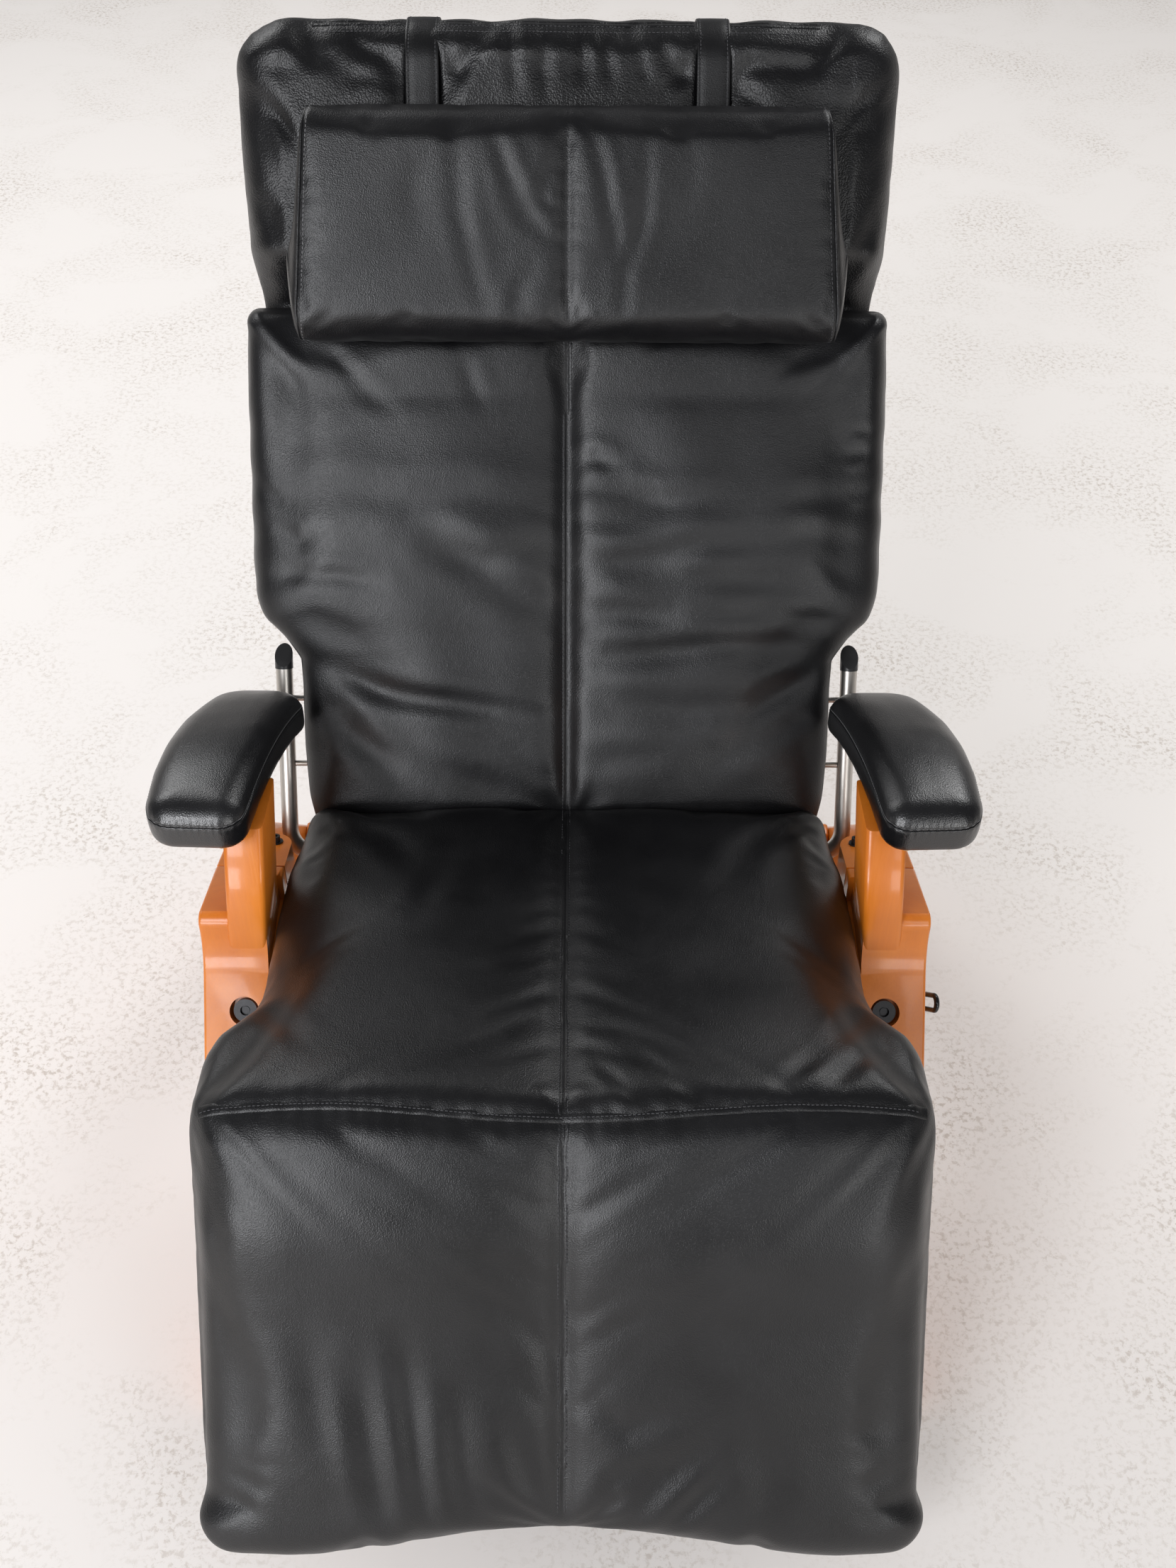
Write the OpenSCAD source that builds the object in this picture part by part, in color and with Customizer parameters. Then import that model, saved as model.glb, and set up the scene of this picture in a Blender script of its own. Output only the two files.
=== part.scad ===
// Zero gravity recliner: a wooden base, a steel carriage that tilts in it, and leather cushions.
// Millimetres. +Z is up, the sitter faces -Y, and the sitter's left hand is on the +X side.
// The origin is on the floor, under the middle of the whole chair.

/* [Posture] */
// Lean of the back from the vertical, in degrees
back_lean = 30.2; // [29:0.1:31.5]
// Rise of the seat towards the knees, in degrees
seat_rise = 9.9; // [9:0.1:11]
// Slope of the leg rest below the horizontal, in degrees
leg_drop = 59; // [58:0.1:60]
// Height above the floor of the crease between seat and back
crease_z = 425; // [423:1:430]
// Distance of that crease behind the origin
crease_y = 109.7; // [100:0.1:120]

/* [Cushions] */
// Length of the seat from the crease to the knee seam
seat_len = 485; // [480:1:490]
// Length of the leg rest from the knee seam to its lower corners
leg_len = 452; // [440:1:460]
// Rise of the leg rest's lower edge at its middle
leg_scoop = 31; // [10:1:40]
// Thickness of the cushions
cushion_t = 68; // [62:1:70]
// Thickness of the back cushion at its waist
waist_t = 46; // [40:1:47]
// Half width of the seat between the arm posts
seat_half_w = 300; // [285:1:300]
// Half width of the cushions at the knees
knee_half_w = 340; // [330:1:345]
// Half width of the leg rest
leg_half_w = 348; // [340:1:355]
// Half width of the back cushion
back_half_w = 350; // [335:1:352]
// Half width of the back cushion at its waist
waist_half_w = 292; // [285:1:300]
// Distance along the back from the crease to the top of the back cushion
back_len = 547; // [540:1:550]
// Distance along the back from the crease to the crest of the hood
crest = 838; // [830:1:845]
// Half width of the hood
hood_half_w = 340; // [335:1:345]
// Thickness of the hood
hood_t = 90; // [86:1:94]

/* [Head pillow] */
// Width of the pillow
pillow_w = 570; // [540:1:590]
// Height of the pillow along the back
pillow_h = 231; // [220:1:240]
// Thickness of the pillow
pillow_t = 68; // [60:1:75]
// Distance along the back from the crease to the pillow's lower edge
pillow_low = 514; // [505:1:525]
// Distance of each strap from the middle
strap_x = 150; // [120:1:170]
// Width of each strap
strap_w = 34; // [28:1:40]

/* [Carriage] */
// Diameter of the side rails
rail_d = 22; // [20:1:23]
// Distance of each side rail from the middle
rail_x = 276; // [272:1:276]
// Diameter of the polished back tubes
back_tube_d = 19; // [17:0.5:20]
// Distance of each back tube from the middle
back_tube_x = 323; // [322:0.5:326]
// Diameter of the cross rods
rod_d = 6.5; // [5:0.5:7]
// Height of the tilt axle above the floor
pivot_z = 358; // [356:1:360]

/* [Base] */
// Distance from the middle to the inner face of each wooden side
side_in = 312; // [310:1:314]
// Distance from the middle to the outer face of each wooden side
side_out = 388; // [384:1:388]
// Distance from the middle to the inner face of the rear legs
rear_in = 352; // [350:1:356]
// Thickness of the floor glides
glide_t = 4; // [3:0.5:6]
// Thickness of the arm cushions
arm_t = 54; // [48:1:58]

/* [Hidden] */
$fn = 48;

// Colours
wood = "peru";
leather = "dimgray";
steel = "silver";
black = "black";

// Places on the side view, as [distance behind the crease, height above the floor]
pivot = [-125, pivot_z];
stud = pivot + [-50, -60];
stud_r = norm(stud - pivot);
knee = [-seat_len * cos(seat_rise), crease_z + seat_len * sin(seat_rise)];

// Depths behind the cushions' front faces
rail_depth = 66;
tube_depth = 52;
cross_d = 19;
cross_depth = rail_depth + (rail_d + cross_d) / 2;
cross_half = rail_x + 8;
band_w = 40;
band_t = 2.5;
rail_bend = 60;
crease_turn = 90 - back_lean + seat_rise;
crease_start = rail_depth / tan((180 - crease_turn) / 2) - rail_bend * tan(crease_turn / 2);
hoop_bend = 30;
hoop_s = -70.5;
tube_top_s = 150;
cap_len = 27;
rod_first_s = 38;
rod_pitch = 77;
knee_mitre = tan((seat_rise + leg_drop) / 2);
rail_top_s = 640;
rail_foot = 392;

// Wooden sides
ledge_front = [-168, 441];
ledge_fall = 0.3327;
post_front = -187;
post_rear = -100;
post_low = 402;
leg_split = -79;
leg_bend = 80;
leg_angle = 49.8;
toe_y = -521.6;
heel_y = -452;
rear_heel = 292;
rear_toe = 372;
crest_y = 34.4;
block_r = 120;
bolt_d = 8;
bore_d = 8.2;
stretcher_front = [-350, 115, 24, 70];
stretcher_rear = [230, 60, 24, 80];

// Arm cushions
arm_in = 317;
arm_out = 407;
arm_in_rear = 289;
arm_out_rear = 368;
arm_front = -222;
arm_rear = 60;
arm_top_z = 636;
arm_droop = 86;
board_t = 9;
arm_screw_x = 331;

// Head pillow, its straps and the weight behind the hood
hood_front = 4.5;
strap_t = 3.2;
crest_r = hood_t / 2;
crest_s = crest - crest_r;
weight_low = 560;
weight_size = [330, 100, 25];

function arc(c, r, a0, a1, n) = [for (i = [0:n]) c + r * [cos(a0 + (a1 - a0) * i / n), sin(a0 + (a1 - a0) * i / n)]];
function mirrored(p) = [for (i = [len(p) - 1:-1:0]) [-p[i][0], p[i][1]]];
function ledge_z(y) = ledge_front[1] - (y - ledge_front[0]) * ledge_fall;
function arm_top(y) = arm_top_z - arm_droop * pow((y + 200) / 260, 2);
function arm_under(y) = arm_top(y) - arm_t;

// Local frames: x across, y along the cushion, z out of its front face
module on_back() translate([0, crease_y, crease_z]) rotate([90 - back_lean, 0, 0]) children();
module on_seat() translate([0, crease_y, crease_z]) rotate([-seat_rise, 0, 0]) children();
module on_leg() translate([0, crease_y + knee[0], knee[1]]) rotate([leg_drop, 0, 0]) children();

// Draws an outline of the side view, from x0 to x1
module side_view(x0, x1) translate([x0, crease_y, 0]) rotate([90, 0, 90]) linear_extrude(x1 - x0) children();
// Draws an outline of a local frame's side view, [along, out], across the chair
module across(half) translate([-half, 0, 0]) rotate([90, 0, 90]) linear_extrude(2 * half) children();
// A rod along X at a place on the side view
module rod_x(p, x0, x1, d) translate([x0, crease_y + p[0], p[1]]) rotate([0, 90, 0]) cylinder(d = d, h = x1 - x0);
// A rod along X in a local frame
module local_rod_x(y, z, x0, x1, d) translate([x0, y, z]) rotate([0, 90, 0]) cylinder(d = d, h = x1 - x0);
// A rod along the local y direction
module rod_y(x, z, y0, y1, d) translate([x, y0, z]) rotate([-90, 0, 0]) cylinder(d = d, h = y1 - y0);
module other_side() mirror([1, 0, 0]) children();
module both_sides() {
    children();
    mirror([1, 0, 0]) children();
}

// ---- Wooden base ----

// The front leg rises from its toe, bends upright and carries the ledge
module front_leg_outline() {
    bend_z = 428.7;
    apex_y = leg_split;
    polygon(concat(
        [[toe_y + 6, glide_t], [toe_y + 1.4, glide_t + 5]],
        arc([post_front - leg_bend, bend_z], leg_bend, leg_angle - 90, 0, 6),
        arc([post_front + 13, ledge_z(post_front + 13) - 13], 13, 180, 90, 4),
        [[apex_y, ledge_z(apex_y)], [apex_y, 298], [apex_y - 24, 290], [apex_y - 46, 279]],
        [[heel_y, glide_t]]
    ));
}

module front_leg_bores(with_lock) {
    rod_x(pivot, side_in - 1, rear_in, rail_d);
    rod_x([stretcher_front[0] + 12, stretcher_front[1] + 35], side_in - 1, side_out + 1, bore_d);
    translate([348, crease_y + (toe_y + heel_y) / 2, 0]) cylinder(d = 6, h = 20);
    if (with_lock) rod_x(stud, side_in - 1, side_out + 1, 10.2);
    on_leg_face() translate([0, 0, -1]) cylinder(d = 32, h = 15);
    on_leg_face() cylinder(d = bore_d, h = 62);
}

// The round recess in the front leg's face, with z going into the wood
module on_leg_face() translate([344, crease_y - 232, 346.5]) rotate([leg_angle - 180, 0, 0]) children();

module front_leg(with_lock) color(wood) difference() {
    side_view(side_in, side_out) front_leg_outline();
    translate([side_in - 1, crease_y + post_front - 1, post_low]) cube([360.3 - side_in + 1, post_rear - post_front + 1.3, 60]);
    front_leg_bores(with_lock);
}

// The rear leg runs from the ledge's crest down to the rear foot
module rear_leg_outline() {
    crest_z = ledge_z(crest_y);
    polygon(concat(
        [[leg_split, 298], [leg_split, ledge_z(leg_split)]],
        arc([crest_y - 18, crest_z - 24], 24, 72, 42, 4),
        [[rear_toe - 1.4, glide_t + 5], [rear_toe - 6, glide_t], [rear_heel, glide_t]],
        [[leg_split + 46, 280], [leg_split + 24, 291]]
    ));
}

module rear_leg() color(wood) difference() {
    side_view(rear_in, side_out) rear_leg_outline();
    rod_x([stretcher_rear[0] + 12, stretcher_rear[1] + 40], rear_in - 1, side_out + 1, bore_d);
    translate([370, crease_y + (rear_heel + rear_toe) / 2, 0]) cylinder(d = 6, h = 20);
}

// The block behind the axle: its rear face is round about the axle, so that the tubes swing past
module inner_block() color(wood) difference() {
    intersection() {
        side_view(side_in, rear_in) polygon([
            [leg_split, 298], [leg_split, ledge_z(leg_split)], [0, ledge_z(0)], [0, 298]
        ]);
        rod_x(pivot, side_in, rear_in, 2 * block_r);
        translate([side_in, crease_y + leg_split, 0]) union() {
            cube([60, 48, 500]);
            translate([26, 48, 0]) cylinder(r = 26, h = 500);
            translate([26, 0, 0]) cube([60, 90, 500]);
        }
    }
    on_ledge(-26) translate([0, 0, -30]) cylinder(d = 6.2, h = 40);
}

// A place on the ledge near its inner edge, with z standing up from it
module on_ledge(y) translate([330, crease_y + y, ledge_z(y)]) rotate([-atan(ledge_fall), 0, 0]) children();

module arm_post() color(wood) difference() {
    translate([0, crease_y + post_rear, 0]) rotate([90, 0, 0]) linear_extrude(post_rear - post_front)
        polygon([[318, post_low], [360, post_low], [342.5, 590], [301.5, 590]]);
    arm_slab(290, 410, -230, 70, 0, 80);
    arm_screw_places() cylinder(d = 4.2, h = 45);
}

// A slab that follows the arm's droop, from z0 to z1 above its underside
module arm_slab(x0, x1, y0, y1, z0, z1) {
    steps = 12;
    side_view(x0, x1) polygon(concat(
        [for (i = [0:steps]) let (y = y0 + (y1 - y0) * i / steps) [y, arm_under(y) + z0]],
        [for (i = [steps:-1:0]) let (y = y0 + (y1 - y0) * i / steps) [y, arm_under(y) + z1]]
    ));
}

// The arm's plan outline, drawn in by inset: its rear end is narrower and turned in
module arm_plan(inset) translate([0, crease_y, 500]) linear_extrude(200) polygon(concat(
    arc([arm_in + 24, arm_front + 24], 24 - inset, 187, 263, 6),
    arc([arm_out - 34, arm_front + 52], 34 - inset, 286, 367, 7),
    arc([arm_out_rear - 34, arm_rear - 36], 34 - inset, 7, 90, 7),
    arc([arm_in_rear + 34, arm_rear - 36], 34 - inset, 90, 187, 7)
));

module arm_board() color("tan") difference() {
    intersection() {
        arm_plan(8);
        arm_slab(290, 410, -230, 70, 0, board_t);
    }
    arm_screw_places() cylinder(d = 4.2, h = 60);
    arm_screw_places() translate([0, 0, 42]) cylinder(d = 9, h = 20);
}

module arm_pad() color(leather) difference() {
    intersection() {
        arm_plan(0);
        arm_slab(290, 410, -230, 70, 0, arm_t);
    }
    intersection() {
        arm_plan(7.7);
        arm_slab(290, 410, -230, 70, -1, board_t + 0.3);
    }
}

// Two screws stand in each arm post, 40 mm deep, with their heads let into the board
module arm_screw_places() for (y = [-166, -124]) translate([arm_screw_x, crease_y + y, arm_under(y) - 38]) children();

module arm_screws() color(steel) both_sides() arm_screw_places() {
    cylinder(d = 4, h = 43);
    translate([0, 0, 42]) cylinder(d = 8.6, h = 2.5);
}

module stretcher(p, half) color(wood) difference() {
    translate([-half, crease_y + p[0], p[1]]) cube([2 * half, p[2], p[3]]);
    both_sides() rod_x([p[0] + p[2] / 2, p[1] + p[3] / 2], half - 40, half + 1, bore_d);
}

// Bolts through the legs into the ends of the stretchers
module stretcher_bolts() color(black) both_sides() {
    side_bolt(stretcher_front, side_in - 38);
    side_bolt(stretcher_rear, rear_in - 38);
}

module side_bolt(p, x0) {
    place = [p[0] + p[2] / 2, p[1] + p[3] / 2];
    rod_x(place, x0, side_out + 1, bolt_d);
    difference() {
        rod_x(place, side_out, side_out + 5, 16);
        rod_x(place, side_out + 2, side_out + 6, 7);
    }
}

// Socket bolts with washers that stand in the ledge
module block_bolts() color(black) both_sides() on_ledge(-26) {
    translate([0, 0, -28]) cylinder(d = 6, h = 30);
    cylinder(d = 16, h = 1.6);
    difference() {
        cylinder(d = 10, h = 8);
        translate([0, 0, 4]) cylinder(d = 5, h = 5);
    }
}

// Bolts with round caps in the recesses of the front legs
module leg_bolts() color(black) both_sides() on_leg_face() {
    translate([0, 0, 8]) cylinder(d = bolt_d, h = 52);
    difference() {
        translate([0, 0, 5]) cylinder(d = 25, h = 9);
        translate([0, 0, 4]) cylinder(d = 11, h = 5);
    }
}

module glide(x, y) translate([x, crease_y + y, 0]) {
    cylinder(d = 30, h = glide_t);
    cylinder(d = 5.8, h = 18);
}

module floor_glides() color(black) both_sides() {
    glide(348, (toe_y + heel_y) / 2);
    glide(370, (rear_heel + rear_toe) / 2);
}

// A flanged bush, pressed into the front leg
module pivot_bush() color("goldenrod") difference() {
    union() {
        rod_x(pivot, side_in, rear_in - 2, rail_d);
        rod_x(pivot, side_in - 2, side_in, 30);
    }
    rod_x(pivot, side_in - 3, rear_in, 16.1);
}

// ---- Recline lock, on the sitter's left ----

module lock_stud() color(steel) rod_x(stud, 274, 398, 10);

module lock_spacer() color(steel) difference() {
    rod_x(stud, 298.4, side_in, 22);
    rod_x(stud, 297, side_in + 1, 10.1);
}

module lock_disc() color("maroon") difference() {
    rod_x(stud, 287, 292.8, 28);
    rod_x(stud, 286, 294, 10.1);
}

module lock_nut() color(steel) difference() {
    translate([278, crease_y + stud[0], stud[1]]) rotate([0, 90, 0]) cylinder(d = 19, h = 9, $fn = 6);
    rod_x(stud, 277, 288, 10.1);
}

// The lever is a bent rod: a hub on the stud and a long narrow loop
module lock_lever() color(black) {
    reach = 50;
    loop_r = 8;
    lever_d = 6;
    tilt = 11.2;
    translate([392.4, crease_y + stud[0], stud[1]]) rotate([132.4, 0, 0]) {
        difference() {
            translate([-4, 0, 0]) rotate([0, 90, 0]) cylinder(d = 24, h = 8);
            translate([-5, 0, 0]) rotate([0, 90, 0]) cylinder(d = 10.2, h = 10);
        }
        rotate([0, 0, -tilt]) {
            for (side = [-1, 1]) rod_y(0, side * loop_r, 9, reach, lever_d);
            translate([0, reach, 0]) rotate([0, 90, 0]) rotate_extrude(angle = 180) translate([loop_r, 0]) circle(d = lever_d);
        }
    }
}

// The sector hangs from the axle, and its slot slides past the stud
module lock_sector() color(steel) difference() {
    union() {
        rod_x(pivot, 293.2, 298, 37);
        side_view(293.2, 298) translate(pivot) polygon(concat([[0, 0]], arc([0, 0], stud_r + 14, 284, 213, 12)));
    }
    rod_x(pivot, 293, 299, 24.2);
    side_view(293, 299) translate(pivot)
        polygon(concat(arc([0, 0], stud_r - 5.6, 229, 266, 12), arc([0, 0], stud_r + 5.6, 266, 229, 12)));
    for (a = [229, 266]) rod_x(pivot + stud_r * [cos(a), sin(a)], 293, 299, 11.2);
}

// ---- Steel carriage ----

// One bent rail: up the back, along the seat and down the leg rest, with a collar at each bend's ends
module side_rail() color("dimgray") {
    knee_turn = seat_rise + leg_drop;
    knee_gap = (rail_depth + rail_bend) * tan(knee_turn / 2);
    on_back() rail_run(-crease_start, rail_top_s);
    on_seat() {
        rail_run(knee_gap - seat_len, crease_start);
        translate([rail_x, crease_start, rail_bend - rail_depth]) bend(-90, crease_turn - 90);
        translate([rail_x, knee_gap - seat_len, -rail_depth - rail_bend]) bend(90, 90 + knee_turn);
    }
    on_leg() rail_run(-rail_foot, -knee_gap);
    on_back() rail_collar(-crease_start);
    on_seat() rail_collar(crease_start);
    on_seat() rail_collar(knee_gap - seat_len);
    on_leg() rail_collar(-knee_gap);
}

// A straight stretch of rail, just short of the bends that it meets inside the collars
module rail_run(y0, y1) rod_y(rail_x, -rail_depth, y0 + 0.3, y1 - 0.3, rail_d);

module rail_collar(y) rod_y(rail_x, -rail_depth, y - 6, y + 6, rail_d + 1.6);

// A bent stretch of rail in the local side view, from angle a0 to a1
module bend(a0, a1) rotate([90, 0, 90]) rotate([0, 0, a0]) rotate_extrude(angle = a1 - a0)
    translate([rail_bend, 0]) circle(d = rail_d);

module cross_tube(y) color("dimgray") local_rod_x(y, -cross_depth, -cross_half, cross_half, cross_d);

module back_tube() color(steel) on_back()
    rod_y(back_tube_x, -tube_depth, hoop_s + hoop_bend, tube_top_s, back_tube_d);

// The lower hoop joins the two back tubes under the crease
module lower_hoop() color(steel) on_back() translate([0, 0, -tube_depth]) {
    local_rod_x(hoop_s, 0, hoop_bend - back_tube_x, back_tube_x - hoop_bend, back_tube_d);
    both_sides() translate([back_tube_x - hoop_bend, hoop_s + hoop_bend, 0]) rotate([0, 0, -90])
        rotate_extrude(angle = 90, $fn = 64) translate([hoop_bend, 0]) circle(d = back_tube_d);
}

module back_rods() color(steel) on_back() for (i = [0, 1])
    local_rod_x(rod_first_s + i * rod_pitch, -tube_depth, back_tube_d / 2 - back_tube_x, back_tube_x - back_tube_d / 2, rod_d);

// Caps on the back tubes, cut on the slant so that their faces look towards the sitter
module tube_caps() color(black) both_sides() on_back() {
    cap_r = back_tube_d / 2 + 0.7;
    cut_low = tube_top_s + 3;
    difference() {
        rod_y(back_tube_x, -tube_depth, tube_top_s, tube_top_s + cap_len, 2 * cap_r);
        translate([back_tube_x, 0, -tube_depth]) across(20) polygon([
            [cut_low, cap_r], [tube_top_s + cap_len, -cap_r], [tube_top_s + 60, -cap_r], [tube_top_s + 60, cap_r + 1],
            [cut_low, cap_r + 1]
        ]);
    }
}

module pivot_plate() color("dimgray") difference() {
    on_seat() translate([287, 0, 0]) rotate([90, 0, 90]) linear_extrude(6)
        polygon([[-205, -69], [-20, -69], [-20, -78], [-85, -106], [-138, -106], [-205, -78]]);
    rod_x(pivot, 286, 294, 16);
}

module pivot_pin() color(steel) {
    rod_x(pivot, 287, 348, 16);
    rod_x(pivot, 293, side_in - 2.3, 24);
}

// Elastic bands across the seat, looped round the rails
module seat_webbing() color("gray") on_seat() for (y = [-352, -304, -256]) webbing_band(y);

module webbing_band(y) translate([0, y, -rail_depth]) {
    both_sides() difference() {
        rod_y(rail_x, 0, 0, band_w, rail_d + 2 * band_t);
        rod_y(rail_x, 0, -1, band_w + 1, rail_d);
        translate([rail_x - 30, -1, -2.3]) cube([60, band_w + 2, 20]);
    }
    translate([-rail_x, 0, -rail_d / 2 - band_t]) cube([2 * rail_x, band_w, band_t]);
}

module panel(y0, y1, half, depth) translate([-half, y0, -depth]) cube([2 * half, y1 - y0, 7]);

module leg_panel() color(leather) on_leg() panel(-372, -100, 262, 76);

module back_panel() color(leather) on_back() panel(60, 462, 262, 76);

// ---- Cushions ----

// Grooves in a cushion's rear face for the two rails
module rail_grooves(y0, y1) both_sides() {
    rod_y(rail_x, -rail_depth, y0, y1, rail_d + 2);
    translate([rail_x - rail_d / 2 - 1, y0, -rail_depth - 20]) cube([rail_d + 2, y1 - y0, 20]);
}

module seat_pad() color(leather) on_seat() difference() {
    intersection() {
        across(360) polygon([
            [-2, 0], [-seat_len, 0], [-seat_len + cushion_t * knee_mitre, -cushion_t],
            [13, -cushion_t], [13, -30]
        ]);
        translate([0, 0, -100]) linear_extrude(120) polygon(concat(
            half_seat(), mirrored(half_seat())
        ));
    }
    rail_grooves(-seat_len, 20);
    groove_bend();
}

function half_seat() = [[0, 14], [292, 14], [seat_half_w, -40], [seat_half_w, -325], [seat_half_w + 12, -350],
    [knee_half_w - 12, -388], [knee_half_w, -420], [knee_half_w, -seat_len - 1], [0, -seat_len - 1]];

// Room for the rails' bends at the crease
module groove_bend() both_sides() translate([rail_x, crease_start, rail_bend - rail_depth])
    rotate([90, 0, 90]) rotate([0, 0, -110]) rotate_extrude(angle = 90)
    translate([rail_bend, 0]) circle(d = rail_d + 3);

module leg_pad() color(leather) on_leg() difference() {
    intersection() {
        across(360) polygon([
            [-1, 0], [-leg_len, 0], [-leg_len, -44], [-leg_len + 60, -60],
            [-leg_len + 150, -cushion_t], [-1 - cushion_t * knee_mitre, -cushion_t]
        ]);
        translate([0, 0, -100]) linear_extrude(120) polygon(concat(half_leg(), mirrored(half_leg())));
    }
    rail_grooves(-rail_foot - 3, 0);
}

// The leg rest's lower edge is scooped in the middle
function half_leg() = concat(
    [[0, 0], [knee_half_w, 0], [knee_half_w + 4, -60], [leg_half_w, -160], [leg_half_w, -330]],
    arc([leg_half_w - 44, -leg_len + 44], 40, 0, -80, 6),
    [for (x = [250, 170, 90, 0]) [x, -leg_len + leg_scoop * pow(cos(90 * x / 300), 2)]]
);

module back_pad() color(leather) on_back() difference() {
    intersection() {
        across(360) polygon([
            [2, 0], [back_len, 0], [back_len, -cushion_t], [202, -cushion_t],
            [192, -waist_t], [-27, -waist_t]
        ]);
        translate([0, 0, -100]) linear_extrude(120) polygon(concat(half_back(), mirrored(half_back())));
    }
    rail_grooves(150, back_len + 1);
}

function half_back() = concat(
    [[0, -30], [waist_half_w - 6, -30], [waist_half_w, 20], [waist_half_w + 3, 150], [303, 184], [327, 206]],
    [[back_half_w - 5, 245], [back_half_w, 290], [back_half_w, 470], [back_half_w - 4, 520]],
    arc([back_half_w - 36, back_len - 26], 24, 10, 90, 5),
    [[0, back_len]]
);

// The hood is slipped over the rails' upper ends and tucked behind the back cushion
module hood() color(leather) on_back() difference() {
    intersection() {
        across(360) polygon(concat(
            arc([crest_s, -hood_front - crest_r], crest_r, 90, -90, 16),
            [[470, -hood_front - hood_t], [470, -cushion_t - 3]],
            [[back_len + 6, -cushion_t - 3], [back_len + 62, -hood_front]]
        ));
        translate([0, 0, -110]) linear_extrude(130) polygon(concat(half_hood(), mirrored(half_hood())));
    }
    both_sides() rod_y(rail_x, -rail_depth, 460, rail_top_s + 4, rail_d + 1);
    both_sides() translate([rail_x - rail_d / 2 - 0.5, 460, -rail_depth]) cube([rail_d + 1, 50, 20]);
}

function half_hood() = concat(
    [[0, 460], [306, 460], [322, 540], [hood_half_w - 6, 620], [hood_half_w, 700]],
    arc([hood_half_w - 70, crest - 70], 70, 0, 90, 8),
    [[0, crest + 1]]
);

// A flat strap over the crest of the hood
module strap() color(leather) on_back() translate([strap_x - strap_w / 2, 0, -hood_front - crest_r]) {
    inner = crest_r + 0.2;
    translate([0, 600, inner]) cube([strap_w, crest_s - 600, strap_t]);
    translate([0, 520, -inner - strap_t]) cube([strap_w, crest_s - 520, strap_t]);
    translate([0, crest_s, 0]) rotate([90, 0, 90]) linear_extrude(strap_w) difference() {
        circle(r = inner + strap_t, $fn = 96);
        circle(r = inner, $fn = 96);
        translate([-100, -100]) square([100, 200]);
    }
}

module head_pillow() color(leather) on_back() intersection() {
    across(pillow_w / 2) polygon(concat(
        arc([pillow_low + 26, 26.6], 26, 180, 270, 6),
        arc([pillow_low + pillow_h - 26, 26.6], 26, 270, 360, 6),
        arc([pillow_low + pillow_h - 30, pillow_t - 30], 30, 0, 90, 6),
        arc([pillow_low + 30, pillow_t - 30], 30, 90, 180, 6)
    ));
    linear_extrude(pillow_t) polygon([
        [-pillow_w / 2, pillow_low], [pillow_w / 2, pillow_low],
        [pillow_w / 2 - 15, pillow_low + pillow_h], [15 - pillow_w / 2, pillow_low + pillow_h]
    ]);
}

// A flat leather pouch of weights that balances the pillow
module counterweight() color(leather) on_back()
    translate([-weight_size[0] / 2, weight_low, -hood_front - hood_t - 0.2 - strap_t - 0.5 - weight_size[2]]) cube(weight_size);

front_leg(true);  // left_front_leg
other_side() front_leg(false);  // right_front_leg
rear_leg();  // left_rear_leg
other_side() rear_leg();  // right_rear_leg
inner_block();  // left_inner_block
other_side() inner_block();  // right_inner_block
arm_post();  // left_arm_post
other_side() arm_post();  // right_arm_post
arm_board();  // left_arm_board
other_side() arm_board();  // right_arm_board
arm_pad();  // left_arm_pad
other_side() arm_pad();  // right_arm_pad
arm_screws();
stretcher(stretcher_front, side_in);  // front_stretcher
stretcher(stretcher_rear, rear_in);  // rear_stretcher
stretcher_bolts();
block_bolts();
leg_bolts();
floor_glides();
pivot_bush();  // left_pivot_bush
other_side() pivot_bush();  // right_pivot_bush
lock_stud();
lock_spacer();
lock_disc();
lock_nut();
lock_lever();
side_rail();  // left_side_rail
other_side() side_rail();  // right_side_rail
on_back() cross_tube(300);  // back_cross_tube
on_seat() cross_tube(-175);  // seat_cross_tube
on_seat() cross_tube(-365);  // knee_cross_tube
on_leg() cross_tube(-350);  // leg_cross_tube
back_tube();  // left_back_tube
other_side() back_tube();  // right_back_tube
lower_hoop();
back_rods();
tube_caps();
pivot_plate();  // left_pivot_plate
other_side() pivot_plate();  // right_pivot_plate
pivot_pin();  // left_pivot_pin
other_side() pivot_pin();  // right_pivot_pin
lock_sector();
seat_webbing();
leg_panel();
back_panel();
seat_pad();
leg_pad();
back_pad();
hood();
strap();  // left_strap
other_side() strap();  // right_strap
head_pillow();
counterweight();
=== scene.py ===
"""Zero gravity recliner: leather cushions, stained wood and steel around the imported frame."""
import math
import bpy
import bmesh
import numpy as np
from mathutils import Matrix, Vector
from mathutils.bvhtree import BVHTree


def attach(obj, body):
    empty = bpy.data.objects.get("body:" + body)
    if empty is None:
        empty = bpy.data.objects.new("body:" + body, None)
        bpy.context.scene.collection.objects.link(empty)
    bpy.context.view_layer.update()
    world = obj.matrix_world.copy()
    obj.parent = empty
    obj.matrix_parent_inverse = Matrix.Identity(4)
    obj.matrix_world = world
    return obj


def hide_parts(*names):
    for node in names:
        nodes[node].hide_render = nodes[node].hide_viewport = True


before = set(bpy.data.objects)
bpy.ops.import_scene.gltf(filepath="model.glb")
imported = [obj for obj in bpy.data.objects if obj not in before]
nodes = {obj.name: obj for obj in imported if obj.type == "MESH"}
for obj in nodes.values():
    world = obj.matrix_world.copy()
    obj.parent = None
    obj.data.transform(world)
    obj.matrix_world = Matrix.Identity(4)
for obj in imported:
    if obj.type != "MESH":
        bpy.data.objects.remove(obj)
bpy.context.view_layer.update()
scene = bpy.context.scene
SIDES = (("left", 1), ("right", -1))


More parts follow.
